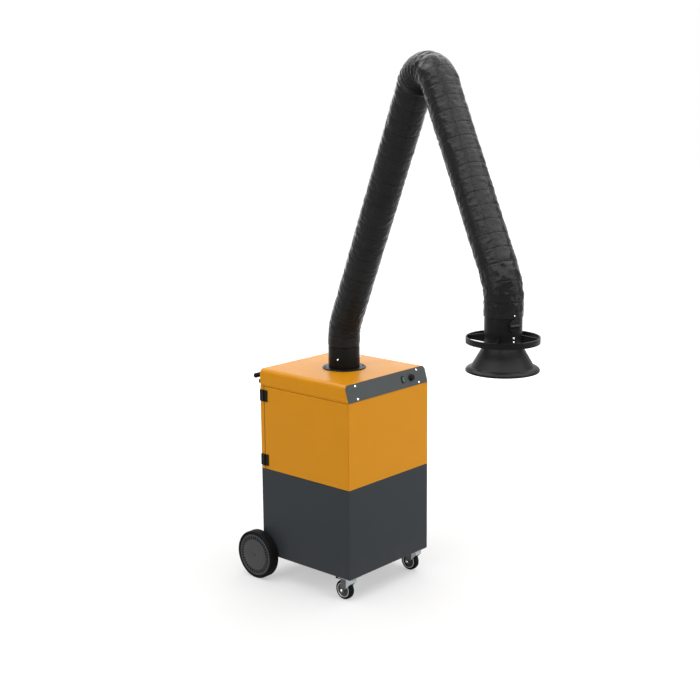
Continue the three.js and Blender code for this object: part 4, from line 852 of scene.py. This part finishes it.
# Profiles are [radius, distance out from the hub's inner face]
def rearWheel(side):
    sign = -1 if side == "left" else 1
    low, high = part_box(f"rear_hub_{side}")
    axis = Vector((sign, 0, 0))
    base = Vector((high.x if sign < 0 else low.x, (low.y + high.y) / 2, (low.z + high.z) / 2))
    r, start, end = wheel["radius"], wheel["tyreFrom"], wheel["tyreTo"]
    treadFloor = r - wheel["treadDepth"]
    treadGroove = [
        (r, -wheel["treadHalf"]), (treadFloor, -wheel["treadFloorHalf"]),
        (treadFloor, wheel["treadFloorHalf"]), (r, wheel["treadHalf"]),
    ]
    middles = np.linspace(start, end, wheel["treads"] + 2)[1:-1]
    tyreProfile = [
        (wheel["rim"], start + wheel["bead"]),
        *[(r - drop, start + inward) for drop, inward in wheel["shoulder"]],
        *[(radius, middle + offset) for middle in middles for radius, offset in treadGroove],
        *[(r - drop, end - inward) for drop, inward in reversed(wheel["shoulder"])],
        (wheel["rim"], end - wheel["bead"]),
    ]
    dress(
        turned(f"rear_tyre_{side}_turned", tyreProfile, base, axis, sides=128, soft=0.0008),
        "tyreRubber", "tyre_rubber", f"rear_wheel_{side}", f"rear_tyre_{side}",
    )
    face, web, lip, disc = wheel["face"], wheel["web"], wheel["lip"], wheel["disc"]
    grooveFloor = face - wheel["groove"]
    rim = wheel["rim"] - 0.0002
    hubProfile = [
        (wheel["bore"], 0), (0.026, 0), (0.027, web), (rim - 0.014, web), (rim - 0.012, 0.006), (rim, 0.006),
        (rim, face - 0.003), (rim - 0.003, face - 0.0005), (lip, face - 0.001), (lip, grooveFloor),
        (disc, grooveFloor), (disc, face), (0.022, face), (0.0215, face - 0.0004),
        (wheel["bore"], face - 0.0004),
    ]
    # A cap with a dimple closes the hub's bore
    capProfile = [
        (0, face - 0.006), (0.0045, face - 0.006), (0.0062, face - 0.0004), (0.0108, face - 0.0002),
        (0.0108, face - 0.010), (0, face - 0.010),
    ]
    pieces = [
        turned("hub", hubProfile, base, axis, sides=128, soft=0.0009),
        turned("hub_cap", capProfile, base, axis, sides=48, closed=False, soft=0.0008),
    ]
    ribOutline = rectangle(lip - disc + 0.001, wheel["ribWidth"], (lip + disc) / 2)
    for angle in fullTurn(wheel["ribs"]):
        out = Vector((0, math.cos(angle), math.sin(angle)))
        pieces.append(plate(
            "rib", ribOutline, grooveFloor - 0.0005, face - wheel["ribSink"],
            placement(base, out, axis.cross(out)), 0.0004,
        ))
    dress(
        joined(f"rear_hub_{side}_formed", pieces), "hubPlastic", "hub_plastic",
        f"rear_wheel_{side}", f"rear_hub_{side}",
    )
    # Painted shade: a dark ring of tyre rubber sits behind the gaps between the ribs and makes them dark, as
    # their shade would
    slotShadeLow, slotShadeHigh = face - wheel["slotShadeBack"], face - wheel["slotShadeSink"]
    slotShadeProfile = tubeProfile(disc - 0.001, lip + 0.001, slotShadeLow, slotShadeHigh)
    slotShadeRing = turned(f"rear_slot_shade_{side}", slotShadeProfile, base, axis, soft=0)
    dress(slotShadeRing, "tyreRubber", "tyre_rubber", f"rear_wheel_{side}")


for side in ("left", "right"):
    rearWheel(side)

# Front casters: wheel, bright rings, bolt heads and a skirt round the fork's front

caster = dict(
    radius=0.050, rim=0.038, width=0.032, bore=0.0054, ringIn=0.0335, bolt=(0.0062, 0.004),
    sheet=0.0012, skirtWidth=0.0452, skirtFront=0.017, skirtProud=0.004, skirtCorner=0.0065,
    skirtReach=0.034, forkEnd=0.013,
)


# The bent sheet round the fork's front: it runs forward along one cheek, round a corner, across, and back
# along the other cheek. Its lower edge falls with the cheek's, from the front corner to the round end
def forkSkirt(name, front, top, axle):
    half, corner, turn = caster["skirtWidth"] / 2, caster["skirtCorner"], np.linspace(0, math.pi / 2, 7)
    cos, sin = np.cos(turn), np.sin(turn)
    bend = [corner - half - corner * cos, corner - corner * sin, -cos, -sin]
    cheek = np.hstack([[[-half], [caster["skirtReach"]], [-1], [0]], bend])
    across, back, outX, outY = np.hstack([cheek, cheek[:, ::-1] * [[-1], [1], [-1], [1]]])
    frontLow = top - caster["skirtFront"]
    fall = (frontLow - axle.z) / (axle.y - caster["forkEnd"] - front.y)
    lowEdge = frontLow - fall * np.clip(back - caster["skirtProud"], 0, None)
    highEdge = np.full(len(back), top)
    thick = np.full(len(back), caster["sheet"])
    thick[[0, -1]] = 0  # the sheet's two ends close to an edge
    inset = np.stack([np.zeros_like(thick), np.zeros_like(thick), thick, thick], axis=1)
    x = front.x + across[:, None] - outX[:, None] * inset
    y = front.y - caster["skirtProud"] + back[:, None] - outY[:, None] * inset
    z = np.stack([highEdge, lowEdge, lowEdge, highEdge], axis=1)
    return addObject(name, wrapMesh(name, np.stack([x, y, z], axis=-1), False))


# Profiles are [radius, distance from the wheel's middle]
def casterWheel(side):
    low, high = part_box(f"caster_tyre_{side}")
    centre = (low + high) / 2
    r, half, ringIn = caster["radius"], caster["width"] / 2, caster["ringIn"]
    axis = Vector((1, 0, 0))
    tyreHalf = [
        (caster["rim"], half - 0.003), (r - 0.005, half), (r - 0.0015, half - 0.003), (r, half - 0.008),
    ]
    tyre = turned(f"caster_tyre_{side}_turned", bothSides(tyreHalf), centre, axis, soft=0.0012)
    dress(tyre, "tyreRubber", "tyre_rubber", f"caster_{side}_wheel", f"caster_tyre_{side}")
    rim = caster["rim"] - 0.0002
    centreHalf = [
        (caster["bore"], half + 0.001), (0.012, half + 0.001), (0.013, half - 0.003),
        (0.030, half - 0.005), (0.033, half - 0.002), (rim, half - 0.0026),
    ]
    centrePiece = turned(f"caster_wheel_{side}_turned", bothSides(centreHalf), centre, axis)
    dress(centrePiece, "wheelPlastic", "hub_plastic", f"caster_{side}_wheel", f"caster_wheel_{side}")
    ringProfile = [
        (ringIn, half - 0.003), (rim, half - 0.003), (rim, half - 0.0004), (rim - 0.001, half + 0.0006),
        (ringIn + 0.001, half + 0.0006), (ringIn, half - 0.0004),
    ]
    rings = [turned("caster_ring", ringProfile, centre, way, soft=0.0006) for way in (axis, -axis)]
    dress(joined(f"caster_rings_{side}", rings), "zincSteel", "zinc_steel", f"caster_{side}_wheel")
    forkLow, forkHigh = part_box(f"caster_fork_{side}")
    skirt = forkSkirt(f"caster_bend_{side}", Vector((centre.x, forkLow.y, 0)), forkHigh.z, centre)
    dress(skirt, "zincSteel", "zinc_steel", f"caster_{side}")
    boltSpots = [
        (Vector((x, centre.y, centre.z)), way) for x, way in ((forkLow.x, -axis), (forkHigh.x, axis))
    ]
    bolts = screws(f"caster_bolts_{side}", boltSpots, *caster["bolt"])
    dress(bolts, "brightSteel", "zinc_steel", f"caster_{side}")


for side in ("left", "right"):
    casterWheel(side)
print("wheels done")

# Push handle: a tube with plugged ends on two arms

handle = dict(
    radius=0.0125, half=0.288,
    armOffset=0.245, armHeight=0.0325, armLap=0.012, armHalf=0.004,
    footOffset=0.2685, footWidth=0.058, footHeight=0.020, footDepth=0.012,
    # The tube's end, as shares of its radius and depths from its tip
    plug=[(0, 0.0), (0.55, 0.0004), (0.93, 0.0022), (0.95, 0.004), (1, 0.0044)],
)
handleLow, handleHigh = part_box("push_handle")
barRadius, barLength = handle["radius"], 2 * handle["half"]
barY, barZ = handleHigh.y - barRadius, handleHigh.z - barRadius
wallY, armLow, armHigh = handleLow.y, handleLow.z, handleLow.z + handle["armHeight"]
lapY = wallY + handle["armLap"]
barStart = Vector((cabinetMiddle.x - handle["half"], barY, barZ))
barProfile = [(barRadius * share, depth) for share, depth in handle["plug"]]
barProfile += [(barRadius * share, barLength - depth) for share, depth in reversed(handle["plug"])]
handlePieces = [turned("bar", barProfile, barStart, (1, 0, 0), sides=40, closed=False, soft=0.0004)]
armOutline = rounded([
    (wallY, armLow), (lapY, armLow), (barY - 0.002, barZ - barRadius + 0.001), (barY, barZ),
    (barY - 0.004, barZ + barRadius * 0.6), (lapY, armHigh), (wallY, armHigh),
], 0.004)
footOutline = rectangle(handle["footWidth"], handle["footHeight"], 0, 0, 0.004)
footZ = handleLow.z + handle["footHeight"] / 2
for sign in (-1, 1):
    armX = cabinetMiddle.x + sign * handle["armOffset"]
    footX = cabinetMiddle.x + sign * handle["footOffset"]
    armPlace = placement((armX, 0, 0), (0, 1, 0), up)
    footPlace = placement((footX, wallY, footZ), (1, 0, 0), up)
    handlePieces += [
        plate("arm", armOutline, -handle["armHalf"], handle["armHalf"], armPlace),
        plate("foot", footOutline, -handle["footDepth"], 0, footPlace, 0.0012),
    ]
dress(joined("push_handle_formed", handlePieces), "blackPaint", "black_paint", "cabinet", "push_handle")
print("handle done")

# Control panel: screws, and a fluted selector knob

panel = dict(
    slant=math.radians(16.9), seam=1.016, skin=0.0028,
    screwX=0.230, screwRows=(0.012, 0.076), screw=(0.0058, 0.0034),
)
panelUp = Vector((0, math.sin(panel["slant"]), math.cos(panel["slant"])))
panelOut = Vector((0, -math.cos(panel["slant"]), math.sin(panel["slant"])))
panelOrigin = Vector((cabinetMiddle.x, cabinetLow.y, panel["seam"]))


def panelPoint(x, rise, out=0.0):
    return panelOrigin + Vector((x, 0, 0)) + panelUp * rise + panelOut * (panel["skin"] + out)


panelSpots = [
    (panelPoint(sign * panel["screwX"], rise), panelOut) for sign in (-1, 1) for rise in panel["screwRows"]
]
dress(screws("panel_screws", panelSpots, *panel["screw"]), "brightSteel", "zinc_steel", "cabinet")

selector = dict(
    radius=0.018, height=0.017, offset=0.177, rise=0.045, gap=0.0003,
    flutes=15, fluteDepth=0.0011, skirt=0.0045,
    markWidth=0.0036, markLength=0.0125, markOffset=0.0066, markRise=0.0006,
)
selectorBase = panelPoint(selector["offset"], selector["rise"], selector["gap"])
gripRadius, gripHeight = selector["radius"], selector["height"]


# Flutes dent the grip's side, from a plain skirt up to its crown
def selectorFlutes(radius, height, angles):
    onGrip = (height > selector["skirt"]) & (radius > 0.6 * gripRadius)
    return np.where(onGrip, selector["fluteDepth"] * np.abs(np.sin(angles * selector["flutes"] / 2)), 0)


selectorProfile = [
    (0, 0), (gripRadius, 0), (gripRadius, 0.003), (gripRadius - 0.002, 0.005), (gripRadius - 0.003, 0.010),
    (gripRadius - 0.0042, gripHeight - 0.0005), (0, gripHeight),
]
markOutline = rectangle(selector["markWidth"], selector["markLength"], 0, selector["markOffset"], 0.001)
selectorPieces = [
    turned(
        "selector_body", selectorProfile, selectorBase, panelOut,
        sides=120, closed=False, soft=0.0008, first=panelUp, flutes=selectorFlutes,
    ),
    plate(
        "selector_rib", markOutline, gripHeight - 0.001, gripHeight + selector["markRise"],
        placement(selectorBase, (1, 0, 0), panelUp), 0.0004,
    ),
]
selectorKnob = joined("selector_knob_formed", selectorPieces)
dress(selectorKnob, "blackPlastic", "black_plastic", "selector", "selector_knob")
print("panel done")

# Cable gland: a hexagonal body with a domed nut

glandLow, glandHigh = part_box("cable_gland")
glandMiddle = (glandLow + glandHigh) / 2
glandRadius = (glandHigh.x - glandLow.x) / 2
glandBase = Vector((glandMiddle.x, glandLow.y, glandMiddle.z))
glandLength = glandHigh.y - glandLow.y
hexagon = [(glandRadius * math.cos(a), glandRadius * math.sin(a)) for a in np.radians(np.arange(0, 360, 60))]
# The nut's profile, as shares of the gland's radius and length
nutShares = [(0.84, 0.4), (0.84, 0.72), (0.62, 0.95), (0.5, 1.0), (0.4, 0.96), (0.4, 0.4)]
nutProfile = [(glandRadius * across, glandLength * out) for across, out in nutShares]
glandPieces = [
    plate("gland_hexagon", hexagon, -0.45 * glandLength, 0, placement(glandBase, (1, 0, 0), up), 0.0012),
    turned("gland_nut", nutProfile, glandBase, (0, 1, 0), sides=48),
]
dress(joined("cable_gland_formed", glandPieces), "blackPlastic", "black_plastic", "cabinet", "cable_gland")

# CAD nodes that keep their shape: a finish, clean faces and softened edges

keptNodes = dict(
    orangePaint=["upper_shell", "cap", "door"],
    greyPaint=["base_shell", "exhaust_grille", "axle_bracket_left", "axle_bracket_right"],
    panelPaint=["control_panel"],
    blackPlastic=[
        "switch_housing", "caster_brake_left", "caster_brake_right", "hinge_upper_fixed_leaf",
        "hinge_lower_fixed_leaf", "hinge_upper_door_leaf", "hinge_lower_door_leaf",
    ],
    greenPlastic=["switch_rocker"],
    sealRubber=["door_seal", "filter_seat"],
    filterMedia=["main_filter"],
    castMetal=["fan_motor", "fan_impeller"],
    plainSteel=["shoulder_yoke", "lower_arm_link", "upper_arm_link", "pre_filter", "damper_blade"],
    # Painted shade: the fork's cheeks take the darker copy of the zinc steel
    shadedForkSteel=["caster_fork_left", "caster_fork_right"],
    zincSteel=[
        "fan_deck", "motor_pedestal", "rear_axle", "caster_plate_left", "caster_plate_right",
        "shoulder_bolt", "elbow_bolt", "hood_bolt", "hood_yoke", "damper_shaft",
    ],
)
plainEdge = 0.0006
edgeWidths = dict(upper_shell=0.0012, base_shell=0.0012, cap=0.0012, door=0.0014, switch_rocker=0.0008)

# Geometry nodes that merge a CAD node's loose triangles and shade it smooth up to an edge angle
mergeTree, mergeIn, mergeOut = nodeGroup(
    "mergeAndShade", "GeometryNodeTree", dict(Geometry="Geometry"), dict(Geometry="Geometry"),
)
merged = addNode(mergeTree, "GeometryNodeMergeByDistance", dict(Geometry=mergeIn[0], Distance=0.00001))[0]
smoothInputs = {"Geometry": merged, "Shade Smooth": True}
smooth = addNode(mergeTree, "GeometryNodeSetShadeSmooth", smoothInputs, domain="FACE")[0]
edgeAngle = addNode(mergeTree, "GeometryNodeInputMeshEdgeAngle")["Unsigned Angle"]
sharpInputs = {0: edgeAngle, 1: math.radians(32)}
sharp = addNode(mergeTree, "FunctionNodeCompare", sharpInputs, operation="GREATER_THAN")["Result"]
sharpenInputs = {"Geometry": smooth, "Selection": sharp, "Shade Smooth": False}
sharpen = addNode(mergeTree, "GeometryNodeSetShadeSmooth", sharpenInputs, domain="EDGE")[0]
feed(mergeTree, mergeOut, {0: sharpen})

for paint, names in keptNodes.items():
    for name in names:
        node = nodes[name]
        node.data.materials.clear()
        node.data.materials.append(paints[paint])
        settle(node.modifiers.new("clean", "NODES"), node_group=mergeTree)
        flatten = node.modifiers.new("flatten", "DECIMATE")
        settle(flatten, decimate_type="DISSOLVE", angle_limit=math.radians(0.5))
        settle(
            node.modifiers.new("edges", "BEVEL"), width=edgeWidths.get(name, plainEdge), segments=2,
            limit_method="ANGLE", angle_limit=math.radians(40), harden_normals=True,
        )
print("cabinet done")

# Floor, light and background

floor = dict(reach=30, bounce=0.84, seen=0.53, lift=0.45, fadeFrom=0.6, fadeTo=4.6)
floorCorners = [(floor["reach"] * x, floor["reach"] * y, 0) for x, y in ((-1, -1), (1, -1), (1, 1), (-1, 1))]
floorMesh = bpy.data.meshes.new("floor")
floorMesh.from_pydata(floorCorners, [], [(0, 1, 2, 3)])
floorObject = addObject("floor", floorMesh)
floorTree, floorShader = newPaint("floor")
floorPlace = {0: objectPlace(floorTree)}
floorAway = addNode(floorTree, "ShaderNodeVectorMath", floorPlace, operation="LENGTH")["Value"]
floorFade = rangeNode(floorTree, floorAway, floor["fadeFrom"], floor["fadeTo"], 0.0, 1.0, "SMOOTHSTEP")
floorSeen = seenBy(floorTree, "Glossy")
floorLift = rangeNode(floorTree, floorFade, 0.0, 1.0, floor["lift"], 1.0)
feed(floorTree, floorShader, {
    "Base Color": rangeNode(floorTree, floorSeen, 0.0, 1.0, floor["bounce"], floor["seen"]),
    "Roughness": 0.9,
    "Specular IOR Level": 0.0,
    "Emission Color": (1, 1, 1, 1),
    "Emission Strength": mathNode(floorTree, "MULTIPLY", floorSeen, floorLift),
})
floorMesh.materials.append(paints["floor"])

world = bpy.data.worlds.new("studio")
bpy.context.scene.world = world
world.use_nodes = True
worldTree = world.node_tree
skySeen = seenBy(worldTree, "Glossy", "Transmission")
skyStrength = rangeNode(worldTree, skySeen, 0.0, 1.0, 0.3, 1.0)
feed(worldTree, worldTree.nodes["Background"], dict(Color=(1, 1, 1, 1), Strength=skyStrength))


# A soft rectangular lamp; one for gloss alone draws folds and edges and adds no light to the colours
def lamp(name, place, target, size, power, glossAlone=False):
    light = bpy.data.lights.new(name, "AREA")
    settle(light, shape="RECTANGLE", size=size[0], size_y=size[1], energy=power)
    facing = (Vector(target) - Vector(place)).to_track_quat("-Z", "Y").to_euler()
    return settle(
        addObject(name, light), location=place, rotation_euler=facing,
        visible_camera=False, visible_diffuse=not glossAlone,
    )


lamp("topLight", (0.8, 0.2, 4.8), (0.8, 0.2, 0.0), (9.0, 7.0), 300)
lamp("frontLight", (1.6, -5.0, 2.6), (0.2, 0.4, 1.0), (2.6, 2.2), 95)
lamp("sideLight", (-4.6, 0.6, 2.8), (0.1, 0.5, 0.9), (2.4, 2.4), 50)
lamp("rimLight", (1.8, 5.9, 2.0), (0.0, 0.2, 1.9), (2.4, 3.2), 32, True)
lamp("backLight", (3.6, 4.3, 1.9), (0.2, 0.4, 1.3), (3.0, 2.5), 24)

# Two ceiling softboxes, side by side along the camera's line of sight, by their reaches right and front
ceiling = dict(height=4.7, radiance=5.4)
softboxes = dict(ceilingLeft=((-3.8, -0.2), (-2.6, 5.3)), ceilingRight=((0.2, 5.6), (-0.7, 5.3)))
sightTurn = math.radians(camera["azimuth"])
sightRight = Vector((math.cos(sightTurn), math.sin(sightTurn), 0))
sightFront = sightRight.cross(up)
for name, (right, front) in softboxes.items():
    width, length = right[1] - right[0], front[1] - front[0]
    place = sightRight * sum(right) / 2 + sightFront * sum(front) / 2 + up * ceiling["height"]
    power = ceiling["radiance"] * math.pi * width * length
    softbox = lamp(name, place, place - up, (width, length), power, True)
    softbox.rotation_euler = (0, 0, sightTurn)
bpy.context.scene.view_settings.view_transform = "Standard"
print("stage done")
